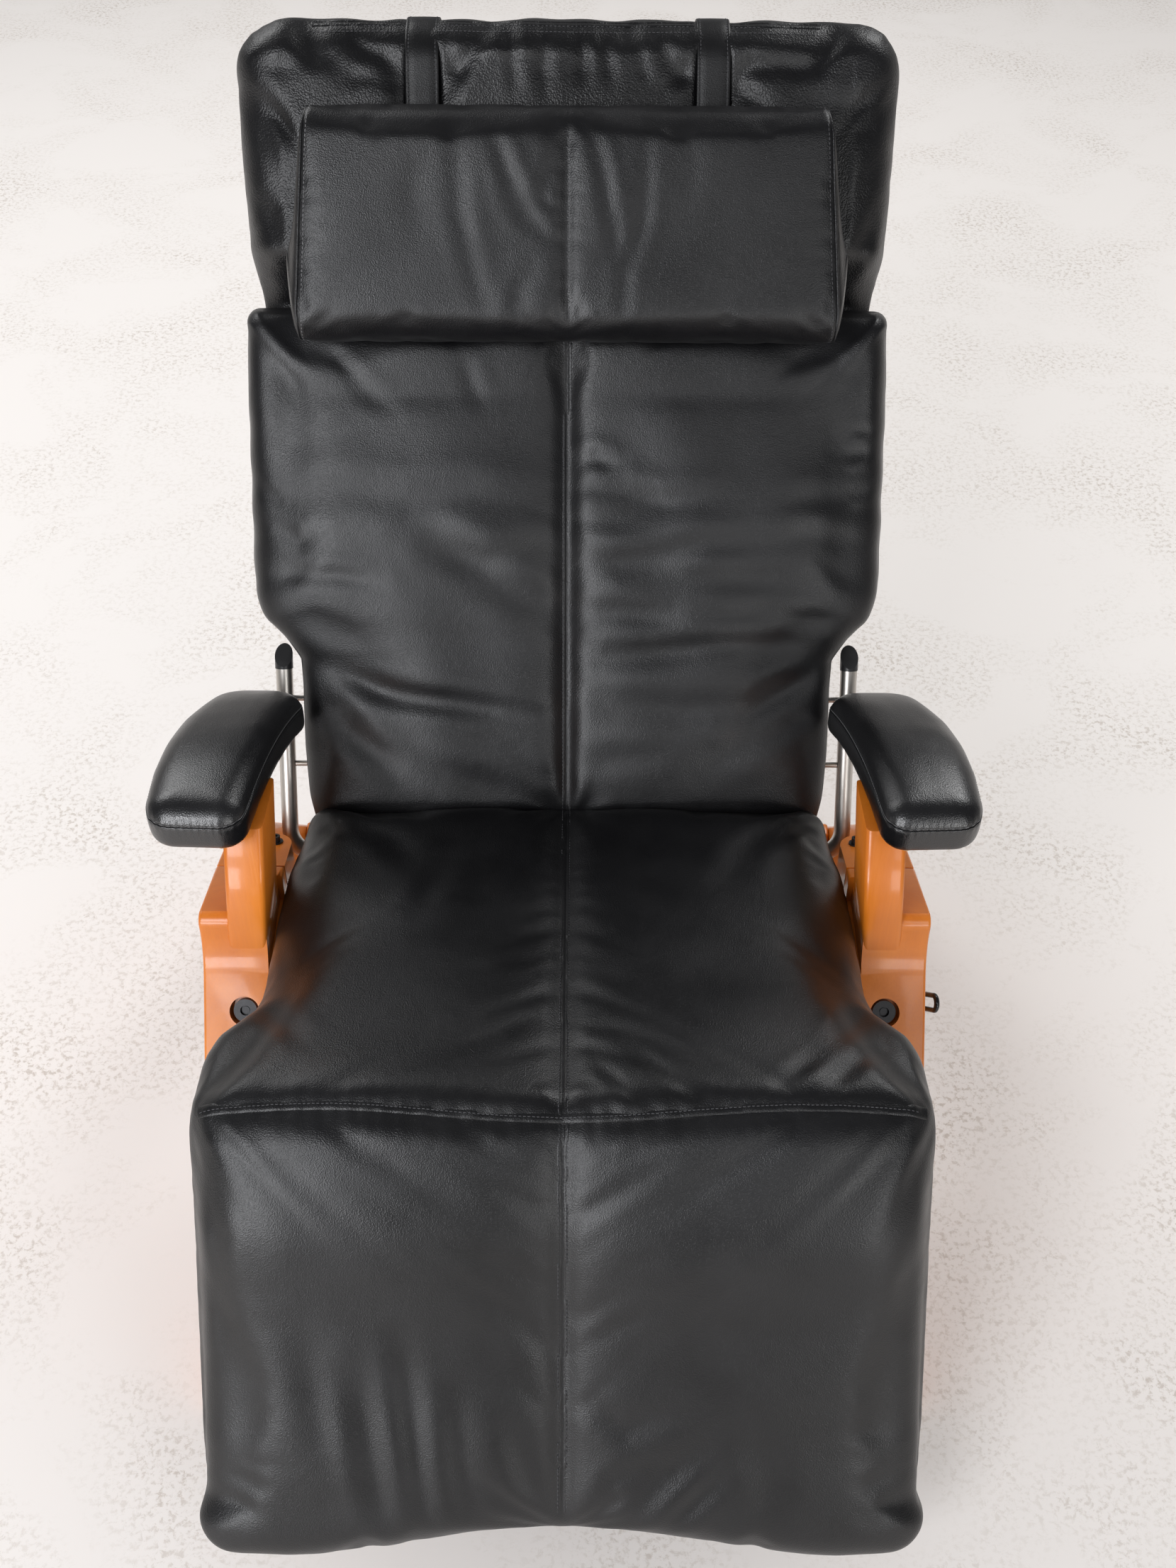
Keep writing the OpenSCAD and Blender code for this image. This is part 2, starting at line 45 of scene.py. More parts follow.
# ------------------------ local frames, in millimetres
CREASE = (109.7, 425.0)
LEAN, RISE, DROP = (math.radians(a) for a in (30.2, 9.9, 59.0))
SEAT_LEN, PAD_T = 485.0, 68.0
KNEE = (CREASE[0] - SEAT_LEN * math.cos(RISE), CREASE[1] + SEAT_LEN * math.sin(RISE))


def panel_frame(origin, along, out):
    """A flat local frame: [across, along, out of the front face] in millimetres become metres of the chair."""
    def place(p):
        x, s, n = np.asarray(p, float).T
        return np.c_[x, origin[0] + s * along[0] + n * out[0], origin[1] + s * along[1] + n * out[1]] / 1000
    return place


on_back = panel_frame(CREASE, (math.sin(LEAN), math.cos(LEAN)), (-math.cos(LEAN), math.sin(LEAN)))
on_seat = panel_frame(CREASE, (math.cos(RISE), -math.sin(RISE)), (math.sin(RISE), math.cos(RISE)))
on_leg = panel_frame(KNEE, (math.cos(DROP), math.sin(DROP)), (-math.sin(DROP), math.cos(DROP)))


def smooth(x, a, b):
    t = np.clip((x - a) / (b - a), 0, 1)
    return t * t * (3 - 2 * t)


KNEE_R = 46.0
KNEE_TURN = RISE + DROP
KNEE_D = KNEE_R * math.tan(KNEE_TURN / 2)
MITRE_REACH = 150.0


def on_seat_and_leg(p):
    """Points [across, along from the crease over the knee, out of the front face].

    The front turns over a round knee, and the rear face follows the mitre of the two panels."""
    x, t, n = np.asarray(p, float).T
    a, b = SEAT_LEN - KNEE_D, SEAT_LEN + KNEE_D
    crease_at, knee = np.array(CREASE), np.array(KNEE)
    seat_dir, leg_dir = (np.array([-math.cos(tilt), math.sin(tilt)]) for tilt in (RISE, -DROP))
    seat_out, leg_out = (np.array([math.sin(tilt), math.cos(tilt)]) for tilt in (RISE, -DROP))
    centre = crease_at + a * seat_dir - KNEE_R * seat_out
    ang = math.atan2(seat_out[1], seat_out[0]) + np.clip((t - a) / (b - a), 0, 1) * KNEE_TURN
    out = np.c_[np.cos(ang), np.sin(ang)]
    past_knee = np.where((t > b)[:, None], knee + (t[:, None] - SEAT_LEN) * leg_dir, centre + KNEE_R * out)
    front = np.where((t < a)[:, None], crease_at + t[:, None] * seat_dir, past_knee)
    # the rear face is pulled back from the mitre's corner near the knee
    mitre = PAD_T * math.tan(KNEE_TURN / 2) + 4
    shift = np.clip(1 - np.abs(t - SEAT_LEN) / MITRE_REACH, 0, 1) ** 1.5 * mitre
    seat_rear = crease_at + (np.minimum(t, SEAT_LEN) - shift)[:, None] * seat_dir - PAD_T * seat_out
    leg_rear = knee + (np.maximum(t, SEAT_LEN) - SEAT_LEN + shift)[:, None] * leg_dir - PAD_T * leg_out
    w = smooth(t, SEAT_LEN - 18, SEAT_LEN + 18)[:, None]
    rear = seat_rear * (1 - w) + leg_rear * w
    inward = np.clip(-n / PAD_T, 0, 1.6)[:, None]
    yz = front + (rear - front) * inward + np.clip(n, 0, None)[:, None] * out
    return np.c_[x, yz] / 1000


# ------------------------ mesh helpers
def new_object(name, mesh):
    obj = bpy.data.objects.new(name, mesh)
    scene.collection.objects.link(obj)
    return obj


def mesh_from(name, verts, faces):
    mesh = bpy.data.meshes.new(name)
    mesh.from_pydata([tuple(map(float, v)) for v in verts], [], [tuple(map(int, f)) for f in faces])
    mesh.update()
    return new_object(name, mesh)


def from_bmesh(name, bm):
    mesh = bpy.data.meshes.new(name)
    bm.to_mesh(mesh)
    bm.free()
    return new_object(name, mesh)


def outward(obj):
    """Turns an object's faces outward."""
    bm = bmesh.new()
    bm.from_mesh(obj.data)
    bmesh.ops.recalc_face_normals(bm, faces=bm.faces[:])
    bm.to_mesh(obj.data)
    bm.free()
    return obj


def coords(obj):
    co = np.zeros(len(obj.data.vertices) * 3, np.float32)
    obj.data.vertices.foreach_get("co", co)
    return co.reshape(-1, 3).astype(float)


def set_coords(obj, co):
    obj.data.vertices.foreach_set("co", np.asarray(co, np.float32).ravel())
    obj.data.update()


def apply_modifiers(obj):
    bpy.context.view_layer.update()
    dg = bpy.context.evaluated_depsgraph_get()
    mesh = bpy.data.meshes.new_from_object(obj.evaluated_get(dg))
    obj.modifiers.clear()
    old = obj.data
    obj.data = mesh
    bpy.data.meshes.remove(old)
    return obj


def with_modifier(obj, kind, **settings):
    m = obj.modifiers.new(kind.lower(), kind)
    for k, v in settings.items():
        setattr(m, k, v)
    return apply_modifiers(obj)


def shade(obj, material=None, auto=None):
    if material:
        obj.data.materials.clear()
        obj.data.materials.append(material)
    for p in obj.data.polygons:
        p.use_smooth = True
    if auto is not None:
        bm = bmesh.new()
        bm.from_mesh(obj.data)
        for e in bm.edges:
            e.smooth = e.calc_face_angle(0) < math.radians(auto)
        bm.to_mesh(obj.data)
        bm.free()
    return obj


def outline_info(xy, loop):
    """Distance inside a closed outline, the nearest point on it and the inward direction there."""
    loop = np.asarray(loop, float)
    a, b = loop, np.roll(loop, -1, 0)
    d = b - a
    length2 = (d ** 2).sum(1)
    area = (a[:, 0] * b[:, 1] - b[:, 0] * a[:, 1]).sum()
    inward = np.c_[-d[:, 1], d[:, 0]] / np.sqrt(length2)[:, None] * np.sign(area)
    best = np.full(len(xy), 1e9)
    near = np.zeros((len(xy), 2))
    for i in range(len(a)):
        t = np.clip(((xy - a[i]) @ d[i]) / length2[i], 0, 1)
        c = a[i] + t[:, None] * d[i]
        dist = np.hypot(*(xy - c).T)
        hit = dist < best
        best[hit], near[hit] = dist[hit], c[hit]
    # inward direction: from the nearest point to the vertex, or the edge's own where they meet
    step = xy - near
    norm = np.hypot(*step.T)
    edge_in = np.zeros((len(xy), 2))
    for i in range(len(a)):
        t = np.clip(((near - a[i]) @ d[i]) / length2[i], 0, 1)
        dist = np.hypot(*(near - (a[i] + t[:, None] * d[i])).T)
        edge_in += np.exp(-(dist / 4) ** 2)[:, None] * inward[i]
    edge_in /= np.maximum(np.hypot(*edge_in.T), 1e-9)[:, None]
    sign = np.sign((step * edge_in).sum(1))
    direct = step / np.maximum(norm, 1e-9)[:, None] * np.where(sign < 0, -1, 1)[:, None]
    direction = np.where((norm > 3)[:, None], direct, edge_in)
    return best * np.where((norm > 1e-6) & (sign < 0), -1, 1), near, direction


def mirror_loop(half):
    """A closed outline from its right half, whose first and last points lie on the middle line."""
    return [tuple(p) for p in half] + [(-x, y) for x, y in reversed(half) if abs(x) > 1e-6]


def arc(cx, cy, r, a0, a1, n):
    return [(cx + r * math.cos(math.radians(a0 + (a1 - a0) * i / n)),
             cy + r * math.sin(math.radians(a0 + (a1 - a0) * i / n))) for i in range(n + 1)]


def slab(name, loop, z0, z1, voxel):
    """A closed outline as a slab, remeshed to an even net of faces, in millimetres."""
    bm = bmesh.new()
    low = [bm.verts.new((x, y, z0)) for x, y in loop]
    high = [bm.verts.new((x, y, z1)) for x, y in loop]
    bm.faces.new(list(reversed(low)))
    bm.faces.new(high)
    k = len(loop)
    for i in range(k):
        bm.faces.new((low[i], low[(i + 1) % k], high[(i + 1) % k], high[i]))
    bmesh.ops.triangulate(bm, faces=bm.faces[:])
    bmesh.ops.recalc_face_normals(bm, faces=bm.faces[:])
    return with_modifier(from_bmesh(name, bm), "REMESH", mode="VOXEL", voxel_size=voxel)


def rounded(co, loop, level, radius, power, shrink=0.0):
    """Draws a slab's edges in to a round. level runs from -1 to 1 over its depth."""
    d, near, inward = outline_info(co[:, :2], loop)
    p = np.clip(1 - d / radius, 0, 1)
    k = (p ** power + np.abs(level) ** power + 1e-9) ** (-1 / power)
    k = np.where(np.maximum(p, np.abs(level)) < 0.5, 1, k)
    new_d = np.where(p > 0, radius * (1 - np.clip(p * k, 0, 1)), d) + shrink
    xy = np.where((p > 0)[:, None], near + inward * new_d[:, None], co[:, :2])
    return xy, np.clip(level * k, -1, 1), d


CLOTH_FRAMES = 20


def stuffed(name, loop, thick, front_r, rear_r, crown, pins, cap, voxel=6.0, pressure=4.0, shrink=3.0):
    """A crowned cushion in a flat local frame: x across, y along, z out.

    Its edges are rounded, then it is blown up as cloth. thick(x, y) is its depth below z = 0, crown(x, y) what
    its front stands out, and pins(x, y) is 0 to 1 where a seam holds it."""
    deep = max(float(np.max(thick(np.array([0.0]), np.array([0.0])))), 30.0)
    obj = slab(name, loop, -deep, 0.0, voxel)
    co = coords(obj)
    level = np.clip((co[:, 2] + deep / 2) / (deep / 2), -1, 1)
    radius = np.where(level >= 0, front_r, rear_r)
    xy, level, _ = rounded(co, loop, level, radius, np.where(level >= 0, 2.15, 2.6), shrink)
    t = thick(xy[:, 0], xy[:, 1])
    z = -t / 2 + level * (t / 2 - shrink * 0.5)
    z += np.clip(level, 0, 1) ** 2 * crown(xy[:, 0], xy[:, 1])
    set_coords(obj, np.c_[xy, z])
    with_modifier(obj, "SMOOTH", factor=0.5, iterations=6)
    inflate(obj, pins, cap, pressure)
    fit_outline(obj, loop)
    with_modifier(obj, "SUBSURF", levels=1, render_levels=1)
    return obj


def along(points, pitch):
    """Points a pitch apart along a line of points."""
    pts = np.asarray(points, float)
    d = np.r_[0, np.cumsum(np.linalg.norm(np.diff(pts, axis=0), axis=1))]
    want = np.arange(0, d[-1], pitch)
    return np.c_[[np.interp(want, d, pts[:, i]) for i in range(pts.shape[1])]].T


def fit_outline(obj, loop, reach=70.0):
    """Moves a cushion's sides out or in until they reach its outline all round."""
    co = coords(obj)
    samples = along(list(loop) + [loop[0]], 8.0)
    _, near, inward = outline_info(co[:, :2], loop)
    d = ((co[:, :2] - near) * inward).sum(1)
    index = np.zeros(len(co), int)
    best = np.full(len(co), 1e9)
    for k, c in enumerate(samples):
        dist = np.hypot(*(near - c).T)
        hit = dist < best
        best[hit], index[hit] = dist[hit], k
    count = len(samples)
    gap = np.array([d[(index == k)].min() if (index == k).any() else np.nan for k in range(count)])
    bad = np.isnan(gap)
    gap[bad] = np.interp(np.nonzero(bad)[0], np.nonzero(~bad)[0], gap[~bad])
    wide = np.r_[gap[-3:], gap, gap[:3]]
    gap = np.array([wide[k:k + 7].mean() for k in range(count)])
    w = 1 - smooth(d, 4, reach)
    co[:, :2] -= inward * (gap[index] * w)[:, None]
    set_coords(obj, co)
    with_modifier(obj, "SMOOTH", factor=0.5, iterations=1)


def blow_up(obj, hold, cap, pressure, shrink):
    """Cloth under pressure, in millimetres. hold is 0 to 1, and no point moves further than cap."""
    start = coords(obj)
    set_coords(obj, start / 1000)
    group = obj.vertex_groups.new(name="hold")
    for w in range(1, 11):
        group.add([int(i) for i in np.nonzero(np.round(hold * 10) == w)[0]], w / 10, "REPLACE")
    m = obj.modifiers.new("cloth", "CLOTH")
    m.settings.use_pressure = True
    m.settings.uniform_pressure_force = pressure
    m.settings.vertex_group_mass = "hold"
    m.settings.quality = 5
    m.settings.effector_weights.gravity = 0
    m.settings.shrink_min = shrink
    m.point_cache.frame_start, m.point_cache.frame_end = 1, CLOTH_FRAMES
    for f in range(1, CLOTH_FRAMES + 1):
        scene.frame_set(f)
    apply_modifiers(obj)
    scene.frame_set(1)
    move = coords(obj) * 1000 - start
    size = np.linalg.norm(move, axis=1)
    set_coords(obj, start + move * (cap * np.tanh(size / cap) / np.maximum(size, 1e-6))[:, None])


def inflate(obj, pins, cap, pressure):
    """Blows a cushion up with its rear and its seams held."""
    x, y, z = coords(obj).T
    rear = smooth(-z, 0.62 * -z.min(), 0.9 * -z.min())
    blow_up(obj, np.maximum(rear, pins(x, y) * (z > 0.5 * z.min())), cap, pressure, -0.005)
    with_modifier(obj, "SMOOTH", factor=0.5, iterations=2)


def crease(co, strokes, front=1.0, broad=1.35, soft=0.8):
    """Presses soft creases into a cushion's front.

    A stroke is (points, width, depth): a valley with a ridge beside it."""
    out = np.zeros(len(co))
    for pts, width, depth in strokes:
        pts, width, depth = np.asarray(pts, float), width * broad, depth * soft
        seg = np.diff(pts, axis=0)
        lens = np.hypot(*seg.T)
        best, reached, side = np.full(len(co), 1e9), np.zeros(len(co)), np.ones(len(co))
        done = 0.0
        for i in range(len(seg)):
            t = np.clip(((co[:, :2] - pts[i]) @ seg[i]) / lens[i] ** 2, 0, 1)
            off = co[:, :2] - (pts[i] + t[:, None] * seg[i])
            dist = np.hypot(*off.T)
            hit = dist < best
            best[hit] = dist[hit]
            reached[hit] = (done + t * lens[i])[hit] / lens.sum()
            side[hit] = np.sign(seg[i][0] * off[:, 1] - seg[i][1] * off[:, 0])[hit]
            done += lens[i]
        fade = np.clip(np.sin(np.pi * np.clip(reached * 0.9 + 0.05, 0, 1)), 0, 1) ** 0.8
        u = best / width
        raised = 0.55 * np.exp(-((u - 1.9) ** 2) / 0.9) * (0.75 + 0.25 * side)
        out += fade * depth * (-np.exp(-u ** 2) + raised)
    return out * front


def waves(x, y, seed, scale, amount):
    """Slow unevenness, the same on every run."""
    rng = np.random.RandomState(seed)
    out = np.zeros(len(x))
    for _ in range(9):
        a, f, ph = rng.uniform(0, 2 * math.pi), rng.uniform(0.6, 1.6) / scale, rng.uniform(0, 6.28)
        out += np.sin(2 * math.pi * f * (x * math.cos(a) + y * math.sin(a)) + ph)
    return out / 9 * amount * 1.6


def held_below(z, limit, soft=2.0):
    """Presses z gently down to a limit."""
    pressed = limit - soft * np.log1p(np.exp(np.clip((limit - z) / soft, -30, 12)))
    return np.where(z < limit - 12 * soft, z, pressed)


def seam_valley(dist, width, depth):
    return -depth * np.exp(-(dist / width) ** 2)


# ------------------------ materials
def nodes_of(name):
    m = bpy.data.materials.new(name)
    m.use_nodes = True
    return m, m.node_tree, m.node_tree.nodes["Principled BSDF"]


def feed(tree, n, inputs):
    """Gives a node's inputs their values or their links."""
    for k, v in inputs.items():
        if isinstance(v, bpy.types.NodeSocket):
            tree.links.new(v, n.inputs[k])
        else:
            n.inputs[k].default_value = v


def node(tree, kind, inputs=None, **props):
    n = tree.nodes.new(kind)
    for k, v in props.items():
        setattr(n, k, v)
    feed(tree, n, inputs or {})
    return n


def placed(tree, scale=(1, 1, 1), turn=(0, 0, 0)):
    at = node(tree, "ShaderNodeTexCoord").outputs["Object"]
    return node(tree, "ShaderNodeMapping", {"Vector": at, "Scale": scale, "Rotation": turn}).outputs[0]


def noise(tree, vec, scale, detail=2.0, rough=0.5, warp=0.0, out="Fac"):
    inputs = {"Vector": vec, "Scale": scale, "Detail": detail, "Roughness": rough, "Distortion": warp}
    return node(tree, "ShaderNodeTexNoise", inputs).outputs[out]


def spread(tree, value, low, high, a=0.3, b=0.7):
    inputs = {"Value": value, "From Min": a, "From Max": b, "To Min": low, "To Max": high}
    return node(tree, "ShaderNodeMapRange", inputs).outputs[0]


def math_node(tree, operation, *values):
    return node(tree, "ShaderNodeMath", dict(enumerate(values)), operation=operation).outputs[0]


def ramp(tree, value, stops):
    r = node(tree, "ShaderNodeValToRGB", {"Fac": value})
    while len(r.color_ramp.elements) < len(stops):
        r.color_ramp.elements.new(0.5)
    for el, (pos, col) in zip(r.color_ramp.elements, stops):
        el.position, el.color = pos, (*col, 1)
    return r.outputs["Color"]


def shaded(tree, value, color, least):
    """A colour that darkens in patches."""
    return ramp(tree, value, [(0.3, tuple(c * least for c in color)), (0.7, color)])


def bump(tree, height, strength, distance, under=None):
    inputs = {"Height": height, "Strength": strength, "Distance": distance}
    if under is not None:
        inputs["Normal"] = under
    return node(tree, "ShaderNodeBump", inputs).outputs[0]


def leather(name, grain=1.0, rough=(0.34, 0.42), scale=820.0, lines=0.5, shine=0.52):
    m, t, b = nodes_of(name)
    v = placed(t)
    uneven = noise(t, v, 260.0, 1.0, out="Color")
    jitter = node(t, "ShaderNodeVectorMath", {0: uneven, "Scale": 0.0011}, operation="SCALE").outputs[0]
    warp = node(t, "ShaderNodeVectorMath", {0: v, 1: jitter}, operation="ADD").outputs[0]
    cell_inputs = {"Vector": warp, "Scale": scale, "Smoothness": 0.6}
    cells = node(t, "ShaderNodeTexVoronoi", cell_inputs, feature="SMOOTH_F1")
    folded = bump(t, noise(t, placed(t), 46.0, 5.0, 0.62, 0.8), 0.16 * lines, 0.0035)
    grained = bump(t, cells.outputs["Distance"], 0.36 * grain, 0.0006, folded)
    feed(t, b, {
        "Normal": bump(t, noise(t, v, 1900.0), 0.10 * grain, 0.00025, grained),
        "Base Color": ramp(t, noise(t, v, 5.5, 4.0, 0.6), [(0.3, LEATHER_DARK), (0.72, LEATHER_LIGHT)]),
        "Roughness": spread(t, noise(t, v, 22.0, 3.0), *rough), "Specular IOR Level": shine})
    return m


def wood(name, turn=(0, 0, 0), dark=(0.58, 0.150, 0.010), light=(0.70, 0.205, 0.015), coat=0.35):
    m, t, b = nodes_of(name)
    fine = noise(t, placed(t, (420, 420, 16), turn), 1.0, 3.0, 0.6)
    broad = noise(t, placed(t, (26, 26, 2.2), turn), 1.0, 4.0, 0.55, 0.6)
    both = math_node(t, "MULTIPLY_ADD", broad, 0.75, math_node(t, "MULTIPLY", fine, 0.25))
    middle = tuple(0.5 * (a + c) for a, c in zip(dark, light))
    flecks = node(t, "ShaderNodeTexVoronoi", {"Vector": placed(t, (900, 900, 110), turn), "Scale": 1.0})
    feed(t, b, {
        "Base Color": ramp(t, both, [(0.34, dark), (0.52, middle), (0.68, light)]),
        "Normal": bump(t, fine, 0.10, 0.0006, bump(t, flecks.outputs["Distance"], 0.05, 0.0004)),
        "Roughness": spread(t, fine, 0.30, 0.42), "Coat Weight": coat, "Coat Roughness": 0.1})
    return m


def metal(name, color, rough=(0.22, 0.34), stretch=(60, 60, 900), strength=0.06, metallic=1.0):
    m, t, b = nodes_of(name)
    fine = noise(t, placed(t, stretch), 1.0, 3.0, 0.6)
    feed(t, b, {
        "Base Color": shaded(t, noise(t, placed(t), 14.0, 3.0), color, 0.86),
        "Roughness": spread(t, fine, *rough), "Normal": bump(t, fine, strength, 0.0004),
        "Metallic": metallic})
    return m


def moulded(name, color, rough=(0.35, 0.5), scale=1400.0, strength=0.12):
    m, t, b = nodes_of(name)
    v = placed(t)
    feed(t, b, {
        "Base Color": shaded(t, noise(t, v, 30.0, 3.0), color, 0.75),
        "Roughness": spread(t, noise(t, v, 90.0), *rough),
        "Normal": bump(t, noise(t, v, scale), strength, 0.0003)})
    return m


def cloth(name, color, pitch=1500.0):
    m, t, b = nodes_of(name)
    v = placed(t)
    threads = [node(t, "ShaderNodeTexWave", {"Vector": v, "Scale": pitch / 6.28, "Distortion": 0.4},
                    wave_type="BANDS", bands_direction=way).outputs["Fac"] for way in "XZ"]
    weave = math_node(t, "MULTIPLY", *threads)
    feed(t, b, {
        "Normal": bump(t, weave, 0.5, 0.0008), "Base Color": shaded(t, noise(t, v, 18.0, 4.0), color, 0.7),
        "Roughness": spread(t, weave, 0.72, 0.92, 0.0, 1.0), "Sheen Weight": 0.25})
    return m


LEATHER_DARK, LEATHER_LIGHT = (0.0026, 0.0026, 0.0031), (0.0054, 0.0054, 0.0065)
LEATHER = leather("leather_pads")
LEATHER_HOOD = leather("leather_hood", grain=1.6, scale=560.0, lines=0.9)
LEATHER_ARM = leather("leather_arms", rough=(0.28, 0.34), grain=0.9, lines=0.08, shine=0.95)
LEATHER_STRAP = leather("leather_straps", rough=(0.38, 0.5), grain=0.8, lines=0.4)
THREAD = moulded("thread", (0.055, 0.055, 0.06), (0.5, 0.65), 900.0, 0.3)
# a paler thread; on the pillow's right end it is a painted highlight, a lit copy of the dark thread
THREAD_PALE_AND_HIGHLIGHT = moulded("thread_pale_and_highlight", (0.16, 0.16, 0.165), (0.45, 0.6), 900.0, 0.3)
WOOD_UP = wood("wood_upright")
WOOD_FRONT = wood("wood_front_leg", (math.radians(-32), 0, 0))
WOOD_REAR = wood("wood_rear_leg", (math.radians(38), 0, 0))
WOOD_LEDGE = wood("wood_ledge", (math.radians(72), 0, 0))
WOOD_CROSS = wood("wood_cross", (0, math.radians(90), 0))
PLY = wood("plywood_plain", (math.radians(90), 0, 0), (0.42, 0.30, 0.17), (0.60, 0.46, 0.28), 0.0)
STEEL = metal("satin_steel", (0.60, 0.57, 0.53), (0.36, 0.40), (90, 90, 6), 0.002)
ZINC = metal("zinc_steel", (0.58, 0.58, 0.57), (0.3, 0.42))
BRASS = metal("turned_brass", (0.62, 0.44, 0.18), (0.28, 0.4), (900, 60, 60))
PAINT = moulded("black_powder_coat", (0.022, 0.022, 0.023), (0.4, 0.55), 2200.0, 0.2)
HARDWARE = metal("black_oxide", (0.035, 0.035, 0.037), (0.3, 0.42), (200, 200, 200), 0.05, 0.6)
GLOSS = moulded("lever_gloss", (0.012, 0.012, 0.013), (0.12, 0.2), 600.0, 0.03)
PLASTIC = moulded("black_plastic", (0.02, 0.02, 0.021), (0.3, 0.42), 1600.0, 0.1)
LINING = moulded("friction_lining", (0.11, 0.05, 0.03), (0.7, 0.85), 1200.0, 0.5)
BACKING = cloth("backing_cloth", (0.022, 0.022, 0.024))
BAND = cloth("elastic_webbing", (0.05, 0.05, 0.055), 900.0)

for mat, names in (
        (HARDWARE, "stretcher_bolts block_bolts leg_bolts"), (BRASS, "left_pivot_bush right_pivot_bush"),
        (ZINC, "arm_screws lock_stud lock_spacer lock_nut lock_sector left_pivot_pin right_pivot_pin"),
        (PLASTIC, "floor_glides tube_caps"), (LINING, "lock_disc"), (GLOSS, "lock_lever"),
        (PAINT, "left_side_rail right_side_rail left_pivot_plate right_pivot_plate"),
        (PAINT, "back_cross_tube seat_cross_tube knee_cross_tube leg_cross_tube"),
        (STEEL, "left_back_tube right_back_tube lower_hoop back_rods"),
        (PLY, "left_arm_board right_arm_board"), (WOOD_LEDGE, "left_inner_block right_inner_block")):
    for name in names.split():
        nodes[name].data.materials.clear()
        nodes[name].data.materials.append(mat)


# ------------------------ wooden base
POST_FOOT = 403


def board(name, loop, x0, x1, radius, material, cuts=(), side="yz"):
    """An outline on the side view, across from x0 to x1, with its long edges rounded. All in millimetres."""
    bm = bmesh.new()
    put = (lambda a, b, c: (c, a, b)) if side == "yz" else (lambda a, b, c: (a, c, b))
    low = [bm.verts.new(put(a, b, x0)) for a, b in loop]
    high = [bm.verts.new(put(a, b, x1)) for a, b in loop]
    bm.faces.new(low)
    bm.faces.new(high)
    k = len(loop)
    for i in range(k):
        bm.faces.new((low[i], low[(i + 1) % k], high[(i + 1) % k], high[i]))
    bmesh.ops.recalc_face_normals(bm, faces=bm.faces[:])
    rim = [e for e in bm.edges if e.calc_face_angle(0) > math.radians(28)
           and not (side == "xz" and max(v.co.z for v in e.verts) < POST_FOOT)]
    bmesh.ops.bevel(bm, geom=rim, offset=radius, segments=4, profile=0.5, affect="EDGES", clamp_overlap=True)
    obj = from_bmesh(name, bm)
    for cutter in cuts:
        m = obj.modifiers.new("cut", "BOOLEAN")
        m.object, m.operation, m.solver = cutter, "DIFFERENCE", "EXACT"
    apply_modifiers(obj)
    set_coords(obj, coords(obj) / 1000)
    return shade(obj, material, 24)


def box_cutter(lo, hi):
    bm = bmesh.new()
    bmesh.ops.create_cube(bm, size=1)
    for v in bm.verts:
        v.co = Vector([lo[i] + (v.co[i] + 0.5) * (hi[i] - lo[i]) for i in range(3)])
    return from_bmesh("cutter", bm)


def rod_cutter(start, direction, radius, length):
    bm = bmesh.new()
    bmesh.ops.create_cone(bm, cap_ends=True, segments=40, radius1=radius, radius2=radius, depth=length)
    turn = Vector((0, 0, 1)).rotation_difference(Vector(direction)).to_matrix().to_4x4()
    where = Vector(start) + Vector(direction).normalized() * length / 2
    bm.transform(Matrix.Translation(where) @ turn)
    return from_bmesh("cutter", bm)


def adopt(obj, body, slot, *replaced):
    """Says which body an object rides on and what it replaces. slot is not used."""
    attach(obj, body)
    if replaced:
        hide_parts(*replaced)
    return obj


Y0 = CREASE[0]
LEDGE_Y, LEDGE_Z, FALL = -168, 441, 0.3327
ARM_TOP, ARM_DROP, ARM_PAD = 636, 86, 54


def ledge(y):
    return LEDGE_Z - (y - LEDGE_Y) * FALL


def arm_level(y):
    return ARM_TOP - ARM_DROP * ((y + 200) / 260) ** 2


front_loop = ([(-515.6, 4), (-520.2, 9)] + arc(-267, 428.7, 80, -40.2, 0, 8)
              + arc(-174, ledge(-174) - 13, 13, 180, 90, 5)
              + [(-79, ledge(-79)), (-79, 298), (-103, 290), (-125, 279), (-452, 4)])
rear_loop = ([(-79, 298), (-79, ledge(-79))] + arc(16.4, ledge(34.4) - 24, 24, 72, 42, 4)
             + [(370.6, 9), (366, 4), (292, 4), (-33, 280), (-55, 291)])
post_face = ((318, 402.2), (360, 402.2), (342.5, 590), (301.5, 590))
recess_turn = math.radians(49.8 - 180)


def turned(loop):
    return [(y + Y0, z) for y, z in loop]


